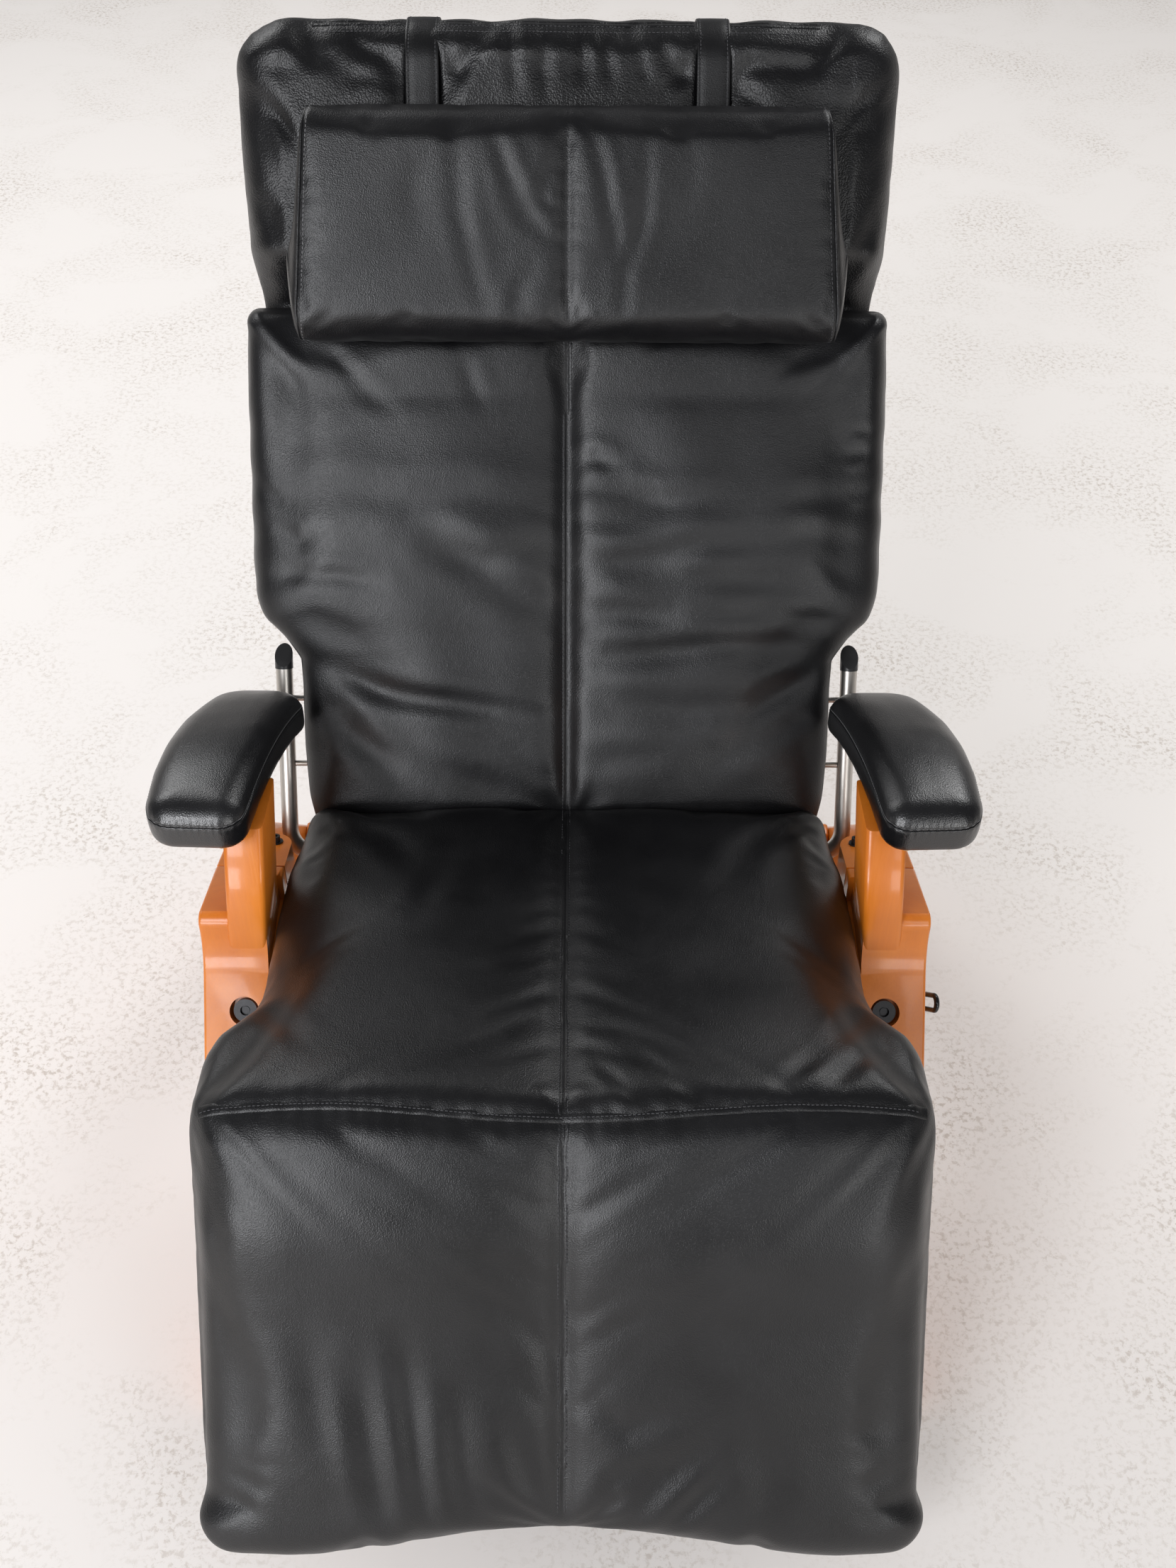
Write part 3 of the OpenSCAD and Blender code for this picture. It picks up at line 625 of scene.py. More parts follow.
for side, sign in SIDES:
    xs = lambda a, b: (a, b) if sign > 0 else (-b, -a)
    (n0, n1), (s0, s1) = xs(300, 354), xs(300, 317.8)
    notch = box_cutter((n0, Y0 - 188, 402), (n1, Y0 - 99.7, 470))
    inner_cut = box_cutter((s0, Y0 - 215, 379), (s1, Y0 - 99.7, 470))
    toward = (-math.sin(recess_turn), math.cos(recess_turn))
    recess = rod_cutter((sign * 344, Y0 - 232 - 30 * toward[0], 346.5 - 30 * toward[1]), (0, *toward), 16, 44)
    leg = board(side + "_front_leg_rounded", turned(front_loop), *xs(312, 388), 12, WOOD_FRONT,
                [notch, recess, inner_cut])
    rear = board(side + "_rear_leg_rounded", turned(rear_loop), *xs(352, 388), 7, WOOD_REAR)
    post = board(side + "_arm_post_rounded", [(sign * x, z) for x, z in post_face], Y0 - 187, Y0 - 100, 6,
                 WOOD_UP, side="xz")
    # the post's top follows the arm board, and its foot fills the notch
    co = coords(post) * 1000
    co[:, 2] = np.minimum(co[:, 2], arm_level(co[:, 1] - Y0) - ARM_PAD - 0.3)
    low = (co[:, 2] < 420) & (co[:, 1] < Y0 - 150)
    co[low, 1] -= 4.4
    set_coords(post, co / 1000)
    for obj, part in ((leg, "_front_leg"), (rear, "_rear_leg"), (post, "_arm_post")):
        adopt(obj, "base", "stained_wood", side + part)
    for c in (notch, recess, inner_cut):
        bpy.data.objects.remove(c)
for name, x, y0, y1, z0, z1 in (("front_stretcher", 312, -350, -326, 115, 185),
                                ("rear_stretcher", 352, 230, 254, 60, 140)):
    rail = board(name + "_rounded", turned([(y0, z0), (y1, z0), (y1, z1), (y0, z1)]), -x, x, 4, WOOD_CROSS)
    adopt(rail, "base", "stained_wood", name)


# ------------------------ seams and stitches
def surface(obj):
    """A cushion's finished surface, to lay seams on."""
    bpy.context.view_layer.update()
    return BVHTree.FromObject(obj, bpy.context.evaluated_depsgraph_get())


def lay(tree, place, pts, out=40.0, reach=120.0):
    """Where points of a local frame meet a surface, seen from outside: positions and normals in metres."""
    pts = np.asarray(pts, float)
    hi, lo = place(np.c_[pts, np.full(len(pts), out)]), place(np.c_[pts, np.full(len(pts), out - 10)])
    found = []
    for a, b in zip(hi, lo):
        d = Vector(b - a).normalized()
        hit = tree.ray_cast(Vector(a), d, reach / 1000)
        if hit[0] is not None:
            found.append((hit[0], hit[1] if hit[1].dot(d) < 0 else -hit[1]))
    return found


def skin(rings, k, base=0, closed=False):
    """Faces over rings of k points each, with a cap on both ends unless it is closed."""
    faces = []
    for i in range(rings if closed else rings - 1):
        for j in range(k):
            a, b = base + i * k, base + (i + 1) % rings * k
            faces.append((a + j, a + (j + 1) % k, b + (j + 1) % k, b + j))
    last = base + (rings - 1) * k
    return faces if closed else faces + [tuple(range(base + k - 1, base - 1, -1)), tuple(range(last, last + k))]


STITCH = [(-1.0, 0.0), (-0.8, 0.75), (-0.25, 1.0), (0.25, 1.0), (0.8, 0.75), (1.0, 0.0)]
STITCH_SIDES = 6
STITCH_SINK = 0.1


def stitches(name, rows, body, material=None, length=3.1, radius=0.42):
    """Rows of thread. A stitch is a small rounded bar, and a row is a list of (place, normal)."""
    verts, faces = [], []
    for row in rows:
        for (p, n), (q, _) in zip(row, row[1:]):
            t = q - p
            if t.length < 1e-6 or t.length > 0.012:
                continue
            t.normalize()
            side = t.cross(n).normalized()
            up = side.cross(t)
            faces += skin(len(STITCH), STITCH_SIDES, len(verts))
            for s, r in STITCH:
                c = p + t * (s * length / 2000) + up * (radius * 0.45 - STITCH_SINK) / 1000
                for k in range(STITCH_SIDES):
                    a = 2 * math.pi * k / STITCH_SIDES
                    spoke = side * math.cos(a) * radius * 1.15 + up * math.sin(a) * radius
                    verts.append(c + spoke * (max(r, 0.12) / 1000))
    return adopt(shade(mesh_from(name, verts, faces), material or THREAD), body, "leather")


def strip(name, line, profile, body, material, closed=False):
    """A band that follows a line of (place, normal). The profile is [(sideways, out)] in millimetres."""
    verts, m = [], len(line)
    for i, (p, n) in enumerate(line):
        before, after = ((i - 1) % m, (i + 1) % m) if closed else (max(i - 1, 0), min(i + 1, m - 1))
        t = (line[after][0] - line[before][0]).normalized()
        side = t.cross(n).normalized()
        up = side.cross(t)
        verts += [p + side * (s / 1000) + up * (o / 1000) for s, o in profile]
    obj = outward(mesh_from(name, verts, skin(m, len(profile), closed=closed)))
    return adopt(shade(obj, material, 50), body, "leather")


def both_ways(half):
    """A profile from its left half: the points and their mirror images, the other way round."""
    return half + [(-s, o) for s, o in reversed(half)]


SEAM = both_ways([(-7.5, -1.6), (-6.0, 0.1), (-4.2, 0.75), (-1.6, 0.7), (-0.5, -0.5)])
LAP = [(-2.4, -1.6), (-1.7, -0.4), (-0.6, 0.55), (0.8, 0.95), (2.6, 0.9), (6.5, 0.6), (9.0, -0.2), (10.5, -1.6)]
STITCH_PITCH = 4.6
BESIDE_SEAM = (-4.2, 4.2)
PIPING = [(1.5 * math.cos(a), 0.3 + 1.5 * math.sin(a)) for a in np.linspace(0, 2 * math.pi, 9)[:-1]]


def finish_pad(obj, place, name, body, material, replaced):
    set_coords(obj, place(coords(obj)))
    obj.name = name
    shade(outward(obj), material)
    adopt(obj, body, "leather", *replaced)
    return obj


def swell(x, half, height):
    """Two soft humps beside a seam on the middle line."""
    return height * np.abs(np.sin(np.pi * np.clip(np.abs(x) / half, 0, 1))) ** 0.8


def ridge(x, width):
    """1 on the line x = 0, falling softly to 0 beside it."""
    return np.exp(-(x / width) ** 2)


# ------------------------ back cushion
back_loop = mirror_loop(
    [(0, -26), (284, -26), (293, 4), (297, 60), (298, 130), (300, 165), (318, 188), (344, 210), (353, 236),
     (353, 290), (352, 470), (350, 520)] + arc(335, 533, 15, 10, 88, 4) + [(0, 548)])
back = stuffed("back", back_loop, lambda x, y: 46 + 22 * smooth(y, 178, 222), 34, 15,
               lambda x, y: swell(x, 330, 7) * smooth(y, -10, 60), pins=lambda x, y: ridge(x, 5.0), cap=7)
co = coords(back)
x, y, z = co.T
face = smooth(z, -26, -4)
folds = [
    # right of the seam (the sitter's left): long soft folds that run out from it
    ([(8, 385), (31, 390), (56, 381)], 7, 2.2), ([(8, 359), (60, 354), (105, 345), (170, 350)], 9, 2.6),
    ([(8, 322), (46, 328), (100, 338)], 9, 1.8),
    ([(14, 289), (56, 281), (103, 288), (150, 298), (200, 302)], 9, 3.2),
    ([(8, 264), (56, 272), (127, 265), (200, 260), (272, 252)], 10, 2.2),
    ([(8, 224), (56, 225), (114, 217)], 9, 2.4),
    ([(8, 183), (37, 173), (105, 180), (177, 188), (249, 189), (292, 177)], 10, 4.2),
    ([(293, 172), (260, 149), (222, 124), (189, 101)], 10, 4.0),
    ([(8, 135), (57, 119), (130, 114), (203, 119), (261, 141)], 12, 3.2),
    ([(294, 160), (254, 109), (204, 84), (146, 48)], 12, 3.4), ([(9, 50), (58, 58), (107, 58)], 10, 1.6),
    ([(200, 300), (262, 310), (318, 300)], 9, 1.8), ([(230, 345), (285, 350), (330, 338)], 9, 1.6),
    ([(330, 400), (300, 394)], 5, 1.6), ([(332, 360), (306, 352)], 5, 1.5), ([(330, 420), (308, 424)], 4, 1.2),
    ([(150, 218), (220, 222), (290, 214)], 9, 1.8),
    # left of the seam
    ([(-293, 168), (-243, 150), (-186, 133), (-128, 125), (-40, 105), (-6, 105)], 10, 4.2),
    ([(-288, 154), (-264, 117), (-235, 82), (-188, 32), (-160, 12)], 11, 3.6),
    ([(-222, 135), (-171, 124), (-89, 112)], 8, 2.0), ([(-270, 87), (-177, 57), (-109, 32), (-21, 8)], 12, 3.0),
    ([(-324, 316), (-291, 301), (-268, 309)], 7, 2.2), ([(-318, 262), (-254, 264), (-205, 258)], 7, 2.6),
    ([(-167, 320), (-106, 279), (-49, 240), (-6, 217)], 13, 3.4),
    ([(-308, 343), (-247, 356), (-172, 346), (-106, 353), (-11, 336)], 12, 2.0),
    ([(-247, 490), (-216, 461), (-190, 444)], 7, 1.8), ([(-113, 500), (-104, 469), (-91, 446)], 7, 1.5),
    ([(-341, 358), (-308, 341)], 6, 1.8), ([(-144, 287), (-87, 283), (-6, 302)], 10, 1.6),
    ([(-230, 200), (-150, 196), (-70, 186), (-8, 170)], 13, 1.8), ([(-60, 60), (-35, 42), (-8, 30)], 8, 1.8),
]
z = z + crease(co, folds, face)
z += face * (seam_valley(x, 11, 3.2) + waves(x, y, 3, 150, 1.6))
# the sides pucker a little where the leather is drawn round them
edge = smooth(np.abs(x), 300, 345)
x = x - np.sign(x) * edge * (0.6 + 0.6 * np.sin(y / 9.0 + np.sign(x)) * ridge(y - 330, 130))
# flat where the head pillow slides over it
z -= face * 12 * smooth(y, 300, 470) * (1 - smooth(np.abs(x), 280, 340))
z = held_below(z, -0.5 + 40 * (1 - smooth(y, 370, 462)) + 40 * smooth(np.abs(x), 290, 335), 2.5)
set_coords(back, np.c_[x, y, z])
finish_pad(back, on_back, "back_cushion", "carriage", LEATHER, ["back_pad"])
tree = surface(back)
seam = strip("back_seam", lay(tree, on_back, along([(0, -8), (0, 543)], 4)), SEAM, "carriage", LEATHER)
tree = surface(seam)
rows = [lay(tree, on_back, along([(o, -6), (o, 542)], STITCH_PITCH)) for o in BESIDE_SEAM]
stitches("back_stitches", rows, "carriage")


# ------------------------ seat and leg rest, one piece over the knee
foot = [(x, 953 - 27 * math.cos(math.radians(90 * x / 270)) ** 2) for x in (270, 240, 210, 170, 130, 90, 50)]
sl_loop = mirror_loop(
    [(0, -22), (284, -22), (299, -6), (305, 28), (310, 90), (309, 190), (306, 280), (311, 312), (325, 336),
     (344, 362), (350, 392), (348, 440), (350, 560), (352, 680), (354, 820), (352, 890)]
    + arc(318, 915, 36, 8, 84, 7) + foot + [(0, 926)])


def knee_seam(x):
    a = np.abs(x)
    return SEAT_LEN + 4 - 11 * np.sin(np.pi * a / 460) ** 2


sl = stuffed("sl", sl_loop, lambda x, t: PAD_T - 10 * smooth(t, 780, 880) - 14 * smooth(t, 870, 937), 32, 14,
             lambda x, t: swell(x, 345, 6) + 5 * ridge(t - SEAT_LEN, 60),
             pins=lambda x, t: np.maximum(ridge(x, 5.0), ridge(t - knee_seam(x), 5.0)), cap=10)
co = coords(sl)
x, t, z = co.T
face = smooth(z, -30, -6)
folds = [
    ([(60, 400), (95, 440), (130, 470)], 6, 1.6), ([(30, 420), (55, 455), (85, 480)], 5, 1.4),
    ([(235, 470), (270, 430), (300, 395)], 7, 2.0), ([(190, 470), (215, 440), (240, 415)], 6, 1.5),
    ([(-120, 120), (-140, 160), (-150, 200)], 10, 1.8), ([(-60, 80), (-90, 150), (-100, 230)], 14, 1.6),
    ([(-250, 30), (-190, 80), (-150, 140)], 12, 1.8), ([(250, 30), (200, 90), (170, 160)], 12, 1.6),
    ([(-296, 330), (-270, 370), (-250, 400)], 8, 2.0), ([(298, 330), (275, 372), (262, 400)], 8, 2.2),
    ([(-30, 20), (-50, 60), (-60, 110)], 9, 1.6), ([(30, 20), (50, 60), (60, 110)], 9, 1.5),
    ([(-195, 740), (-182, 820), (-170, 905)], 10, 2.6), ([(-150, 700), (-140, 800), (-130, 910)], 9, 2.8),
    ([(-100, 760), (-95, 840), (-80, 915)], 10, 2.6), ([(-45, 800), (-30, 860), (-12, 900)], 8, 2.2),
    ([(-240, 690), (-232, 760), (-222, 830)], 12, 1.8), ([(20, 770), (60, 800), (100, 780)], 10, 1.6),
    ([(60, 900), (90, 860), (130, 820)], 9, 2.4), ([(95, 912), (125, 880), (150, 850)], 7, 2.0),
    ([(30, 905), (50, 860), (95, 830)], 8, 2.0), ([(180, 800), (200, 850), (195, 905)], 12, 1.6),
    ([(-335, 560), (-318, 600), (-322, 650)], 8, 2.2), ([(-335, 640), (-320, 690), (-322, 740)], 8, 2.0),
    ([(342, 600), (326, 650), (330, 700)], 8, 2.0), ([(-320, 540), (-290, 580), (-280, 640)], 13, 1.6),
]
z = z + crease(co, folds, face)
z += face * (seam_valley(x, 11, 2.4) + seam_valley(t - knee_seam(x), 9, 1.0) + waves(x, t, 5, 190, 1.8))
# the leg rest swells below the knee, so that the front turns over gently
z += face * (11 * ridge(t - 600, 66) - 4 * ridge(t - 497, 30))
# the shallow hollow where a sitter sits
z -= face * 5 * ridge(t - 190, 120) * ridge(x, 190)
# fine gathers on both sides of the knee seam
z += face * ridge(t - knee_seam(x), 16) * 0.35 * np.sin(x / 2.9 + 2 * np.sin(x / 31))
set_coords(sl, np.c_[x, t, z])
finish_pad(sl, on_seat_and_leg, "seat_and_leg_cushion", "carriage", LEATHER, ["seat_pad", "leg_pad"])
tree = surface(sl)
rows = []
for name, a, b, inset in (("seat_seam", -4, knee_seam(0) - 4, (2, -4)),
                          ("leg_seam", knee_seam(0) + 3, 901, (5, -2))):
    seam = strip(name, lay(tree, on_seat_and_leg, along([(0, a), (0, b)], 4)), SEAM, "carriage", LEATHER)
    seam_tree = surface(seam)
    for o in BESIDE_SEAM:
        line = along([(o, a + inset[0]), (o, b + inset[1])], STITCH_PITCH)
        rows.append(lay(seam_tree, on_seat_and_leg, line))
knee_line = [(x, knee_seam(x)) for x in np.linspace(-335, 335, 180)]
downward = [(-s, o) for s, o in reversed(LAP)]
seam = strip("knee_seam", lay(tree, on_seat_and_leg, knee_line), downward, "carriage", LEATHER)
knee_line = along([(x, knee_seam(x) - 4.5) for x in np.linspace(-333, 333, 160)], 4.2)
rows.append(lay(surface(seam), on_seat_and_leg, knee_line))
stitches("seat_and_leg_stitches", rows, "carriage")


# ------------------------ hood
STRAP_X = 150
hood_loop = mirror_loop(
    [(0, 472), (316, 472), (323, 500), (334, 540), (343, 610), (347, 660), (348, 700), (349, 770)]
    + arc(294, 783, 57, 6, 84, 8) + [(0, 840)])


def hood_base(y):
    """The level of the hood's front, which comes forward above the back cushion."""
    return -4.5 - 66.5 * (1 - smooth(y, 548, 612))


def under_strap(x, power):
    return np.exp(-((np.abs(x) - STRAP_X) / 19.0) ** power)


hood = stuffed("hood_soft", hood_loop, lambda x, y: hood_base(y) + 94.5, 42, 42, lambda x, y: 4,
               pins=lambda x, y: np.clip(under_strap(x, 6), 0, 1) * smooth(y, 560, 620), cap=9, voxel=6.5)
co = coords(hood)
x, y, z = co.T
z = z + hood_base(y)
front = smooth(z, -48, -16)
folds = [
    ([(-60, 822), (-57, 792), (-54, 760)], 6, 2.8), ([(-24, 820), (-26, 788), (-22, 745)], 7, 3.4),
    ([(9, 824), (16, 797), (14, 770)], 6, 2.6), ([(36, 818), (42, 788), (44, 765)], 6, 2.4),
    ([(-88, 820), (-106, 792), (-126, 765)], 8, 3.4), ([(66, 822), (76, 796), (80, 772)], 6, 1.8),
    ([(86, 818), (105, 793), (132, 768)], 8, 3.2), ([(170, 788), (219, 790), (268, 783)], 8, 3.2),
    ([(172, 772), (200, 752), (222, 735)], 8, 3.0), ([(-168, 783), (-198, 800), (-232, 816)], 8, 3.0),
    ([(-168, 768), (-203, 775), (-240, 770)], 8, 3.0), ([(-170, 750), (-200, 742), (-230, 745)], 7, 2.0),
    ([(-314, 760), (-293, 731), (-284, 705)], 8, 2.4), ([(-328, 745), (-310, 709), (-300, 680)], 8, 2.4),
    ([(-338, 610), (-318, 574), (-298, 548)], 9, 3.0), ([(-336, 660), (-312, 640), (-296, 612)], 9, 2.2),
    ([(336, 713), (311, 673), (300, 640)], 9, 2.4), ([(334, 650), (306, 600), (298, 570)], 9, 2.6),
    ([(338, 690), (322, 640), (312, 600)], 8, 2.2), ([(280, 820), (262, 800), (250, 780)], 9, 2.2),
    ([(-270, 822), (-256, 800), (-240, 790)], 9, 2.0), ([(-330, 790), (-300, 785), (-270, 790)], 8, 1.6),
    ([(-20, 700), (-24, 660), (-20, 620)], 9, 1.6), ([(240, 760), (285, 752), (325, 762)], 9, 2.2),
    ([(126, 800), (118, 780), (100, 770)], 6, 2.0), ([(-128, 808), (-118, 788), (-104, 776)], 6, 2.0),
]
z = z + crease(co, folds, front, 1.15, 0.75)
under = under_strap(x, 4)
z = np.where(z > -49.5, np.minimum(z, np.where(under > 0.5, -5.0, 99)), z)
z += front * waves(x, y, 11, 90, 2.4)
z -= front * 6 * (1 - smooth(np.abs(x), 285, 335)) * (1 - smooth(y, 780, 815))
z = held_below(z, -1.2 + 40 * smooth(np.abs(x), 292, 330) + 40 * smooth(y, 796, 818), 1.5)
rear = smooth(-z, 60, 84)
z -= rear * waves(x, y, 12, 120, 2.0)
# the crest: gathers over the top edge, flat under each strap
crest = smooth(y, 790, 826)
gathers = 1.6 * np.sin(x / 13.0 + 1.2) * np.sin(x / 41.0) + 2.2 * ridge(x, 90) * 0.6
y = y + crest * ((1 - under) * gathers - under)
set_coords(hood, np.c_[x, y, z])
finish_pad(hood, on_back, "hood_cushion", "carriage", LEATHER_HOOD, ["hood"])


# ------------------------ head pillow
half_h, mid_s, mid_n, thick_p = 115.5, 629.5, 34.0, 67.4


def pillow_ring():
    """The pillow's cross-section: flat behind, crowned in front, with round upper and lower edges."""
    rear_r, front_r = 22, 27
    rear, front = rear_r + 0.6, thick_p - (front_r + 0.6)
    pts = arc(rear_r - half_h, rear, rear_r, 180, 270, 6) + arc(half_h - rear_r, rear, rear_r, 270, 360, 6)
    pts += arc(half_h - front_r, front, front_r, 0, 90, 6) + arc(front_r - half_h, front, front_r, 90, 180, 6)
    pts = np.array(pts + pts[:1])
    d = np.r_[0, np.cumsum(np.hypot(*np.diff(pts, axis=0).T))]
    want = np.linspace(0, d[-1], 97)[:-1]
    return np.c_[np.interp(want, d, pts[:, 0]), np.interp(want, d, pts[:, 1])]


def pillow_half(s):
    """Half the pillow's width, which narrows towards its top."""
    return 285 - 15 * (s + half_h) / (2 * half_h)


def open_edges(edges):
    return [e for e in edges if len(e.link_faces) == 1]


ring = pillow_ring()
stations = np.linspace(-1, 1, 93)
verts = []
for u in stations:
    k = 1 - 5 * smooth(abs(u), 0.985, 1.0) / 60
    verts += [(u * (pillow_half(s) - 2), mid_s + s * k, mid_n + (n - mid_n) * k) for s, n in ring]
m = len(ring)
faces = [(i * m + j, (i + 1) * m + j, (i + 1) * m + (j + 1) % m, i * m + (j + 1) % m)
         for i in range(len(stations) - 1) for j in range(m)]
pillow = mesh_from("pillow", verts, faces)
bm = bmesh.new()
bm.from_mesh(pillow.data)
ends = [[e for e in open_edges(bm.edges) if (e.verts[0].co.x > 0) == right] for right in (False, True)]
for inner in ends:
    for k, push in ((0.75, 3.0), (0.68, 2.0), (0.6, 1.0)):
        grown = bmesh.ops.extrude_edge_only(bm, edges=inner)["geom"]
        ring_verts = [g for g in grown if isinstance(g, bmesh.types.BMVert)]
        c = sum((v.co for v in ring_verts), Vector()) / len(ring_verts)
        for v in ring_verts:
            x = v.co.x + math.copysign(push, v.co.x)
            v.co = Vector((x, c.y + (v.co.y - c.y) * k, c.z + (v.co.z - c.z) * k))
        inner = open_edges([g for g in grown if isinstance(g, bmesh.types.BMEdge)])
    bmesh.ops.contextual_create(bm, geom=inner)
bmesh.ops.triangulate(bm, faces=[f for f in bm.faces if len(f.verts) > 4])
bmesh.ops.recalc_face_normals(bm, faces=bm.faces[:])
bm.to_mesh(pillow.data)
bm.free()
x, _, z = coords(pillow).T
rims, middle = np.exp(-((np.abs(x) - 279) / 7) ** 4) * 0.9, ridge(x, 4) * 0.8
blow_up(pillow, np.maximum(smooth(-z, -14, -4), np.maximum(rims, middle)), 3.5, 3.0, -0.01)
with_modifier(pillow, "SUBSURF", levels=1, render_levels=1)
co = coords(pillow)
x, y, z = co.T
front = smooth(z, 30, 56)
folds = [
    ([(-77, 722), (-58, 680), (-40, 644), (-14, 606)], 6, 2.0), ([(-70, 699), (-57, 653), (-35, 617)], 6, 1.6),
    ([(-8, 718), (-13, 687), (-31, 650)], 6, 1.6), ([(23, 722), (36, 680), (42, 640), (50, 604)], 6, 2.0),
    ([(78, 723), (79, 675), (77, 632), (59, 585), (56, 526)], 6, 1.8),
    ([(-112, 718), (-109, 640), (-98, 590), (-84, 540)], 7, 1.5), ([(-48, 582), (-57, 524)], 6, 1.2),
    ([(-31, 658), (-12, 640)], 5, 1.4), ([(60, 640), (44, 600), (30, 590)], 7, 1.2),
    ([(-150, 700), (-156, 660), (-150, 620)], 9, 0.9), ([(120, 720), (126, 690), (122, 650)], 8, 0.9),
    ([(-30, 600), (-44, 560), (-40, 530)], 7, 1.1), ([(160, 560), (150, 530), (146, 520)], 7, 0.8),
]
z = z + crease(co, folds, front, 1.3, 0.5) + front * (seam_valley(x, 5, 1.2) + waves(x, y, 21, 130, 1.2))
set_coords(pillow, np.c_[x, y, np.maximum(z, 0.5)])
finish_pad(pillow, on_back, "pillow_cushion", "pillow", LEATHER, ["head_pillow"])
tree = surface(pillow)
pillow_seam = both_ways([(-3.2, -1.2), (-2.2, 0.35), (-0.6, 0.1)])
pillow_seam.insert(3, (0, -0.4))
strip("pillow_seam", lay(tree, on_back, along([(0, 520), (0, 738)], 4)), pillow_seam, "pillow", LEATHER)


# ------------------------ seams of the pillow's ends and of the hood
def ring_line(u, grow):
    """Points round the pillow's end, that much outside its edge."""
    pts = []
    for s, n in ring:
        c = Vector((0, s, n - mid_n)).normalized()
        pts.append((pillow_half(s) * u, mid_s + s + c.y * grow, n + c.z * grow))
    return [Vector(p) for p in on_back(pts)]


# the welts and the stitches of both ends
for name, sign in SIDES:
    centre = Vector(on_back([(sign * 280, mid_s, mid_n)])[0])
    line = [(tree.find_nearest(p)[0], (p - centre).normalized()) for p in ring_line(sign * 0.985, 1.0)]
    strip(f"pillow_{name}_welt", line, PIPING, "pillow", LEATHER, closed=True)
    row = [tuple(tree.find_nearest(p)[0]) for p in ring_line(sign * 0.963, 2.0)]
    row = [(Vector(p), tree.find_nearest(Vector(p))[1]) for p in along(row + row[:1], 0.0045)]
    row = [(p, n if n.dot(p - centre) > 0 else -n) for p, n in row]
    # painted light: the pillow's right end, towards the strong lamps left of the camera, takes the pale thread
    # as a painted highlight, and its left end the dark thread
    stitches(f"pillow_{name}_stitches", [row], "pillow", THREAD_PALE_AND_HIGHLIGHT if sign < 0 else THREAD)

tree = surface(hood)


def crest_line(x0, x1, s, pitch):
    return along([(x, s) for x in np.linspace(x0, x1, 60)], pitch)


rows = []
for n0, (a, b) in enumerate(((-132, 132), (-262, -170), (170, 262))):
    rows += [lay(tree, on_back, crest_line(a, b, s, 4.4)) for s in (822, 828.5)]
    line = lay(tree, on_back, crest_line(a - 2, b + 2, 832, 4))
    strip(f"hood_seam_{n0}", line, SEAM, "carriage", LEATHER_HOOD)
stitches("hood_stitches", rows, "carriage")


# ------------------------ straps over the hood
def strap_path():
    crest, middle, r = 793.0, -49.5, 46.8
    turn = np.radians(np.linspace(86, -86, 30))
    return ([(s, middle + r) for s in np.linspace(600, crest, 40)]
            + [(crest + r * math.cos(a), middle + r * math.sin(a)) for a in turn]
            + [(s, middle - r) for s in np.linspace(crest, 520, 46)])


def normal_of(path, i):
    """The direction out of a flat path at one of its points."""
    a, b = path[max(i - 1, 0)], path[min(i + 1, len(path) - 1)]
    t = np.array([b[0] - a[0], b[1] - a[1]])
    t /= np.hypot(*t)
    return np.array([-t[1], t[0]])


strap_edge = [(-17, 0.9), (-16.2, 1.45), (-14.6, 1.6), (-13.7, 1.25), (-12.8, 1.6), (-6, 1.75)]
strap_top = strap_edge + [(0, 1.8)] + [(-u, v) for u, v in reversed(strap_edge)]
strap_profile = [(-17, 0)] + strap_top + [(17, 0)] + [(u, -v) for u, v in reversed(strap_top)]
path = strap_path()
for side, sign in SIDES:
    verts = []
    for i, (s, n) in enumerate(path):
        out = normal_of(path, i)
        wob = 0.25 * math.sin(i * 0.35 + sign)
        for u, v in strap_profile:
            lift = v + 0.1 * wob
            verts.append((sign * STRAP_X + u * (1 + 0.004 * wob), s + out[0] * lift, n + out[1] * lift))
    strap = mesh_from(side + "_hood_strap", on_back(verts), skin(len(path), len(strap_profile)))
    adopt(shade(outward(strap), LEATHER_STRAP, 40), "carriage", "strap_leather", side + "_strap")
    rows = []
    for off in (sign * STRAP_X - 13.7, sign * STRAP_X + 13.7):
        outs = [normal_of(path, i) for i in range(len(path))]
        line = along([(off, s + o[0] * 1.5, n + o[1] * 1.5, *o) for (s, n), o in zip(path, outs)], 4.2)
        p, q = on_back(line[:, :3]), on_back(line[:, :3] + np.c_[np.zeros(len(line)), line[:, 3:5]])
        rows.append([(Vector(a), (Vector(b) - Vector(a)).normalized()) for a, b in zip(p, q)])
    stitches(side + "_strap_stitches", rows, "carriage")


# ------------------------ arm cushions
def seen_along(tree, rays):
    """Where rays of (start, aim) meet a surface within 80 mm, as (place, direction back)."""
    found = []
    for start, aim in rays:
        toward = Vector(aim - start).normalized()
        hit = tree.ray_cast(Vector(start), toward, 0.08)[0]
        if hit is not None:
            found.append((hit, -toward))
    return found


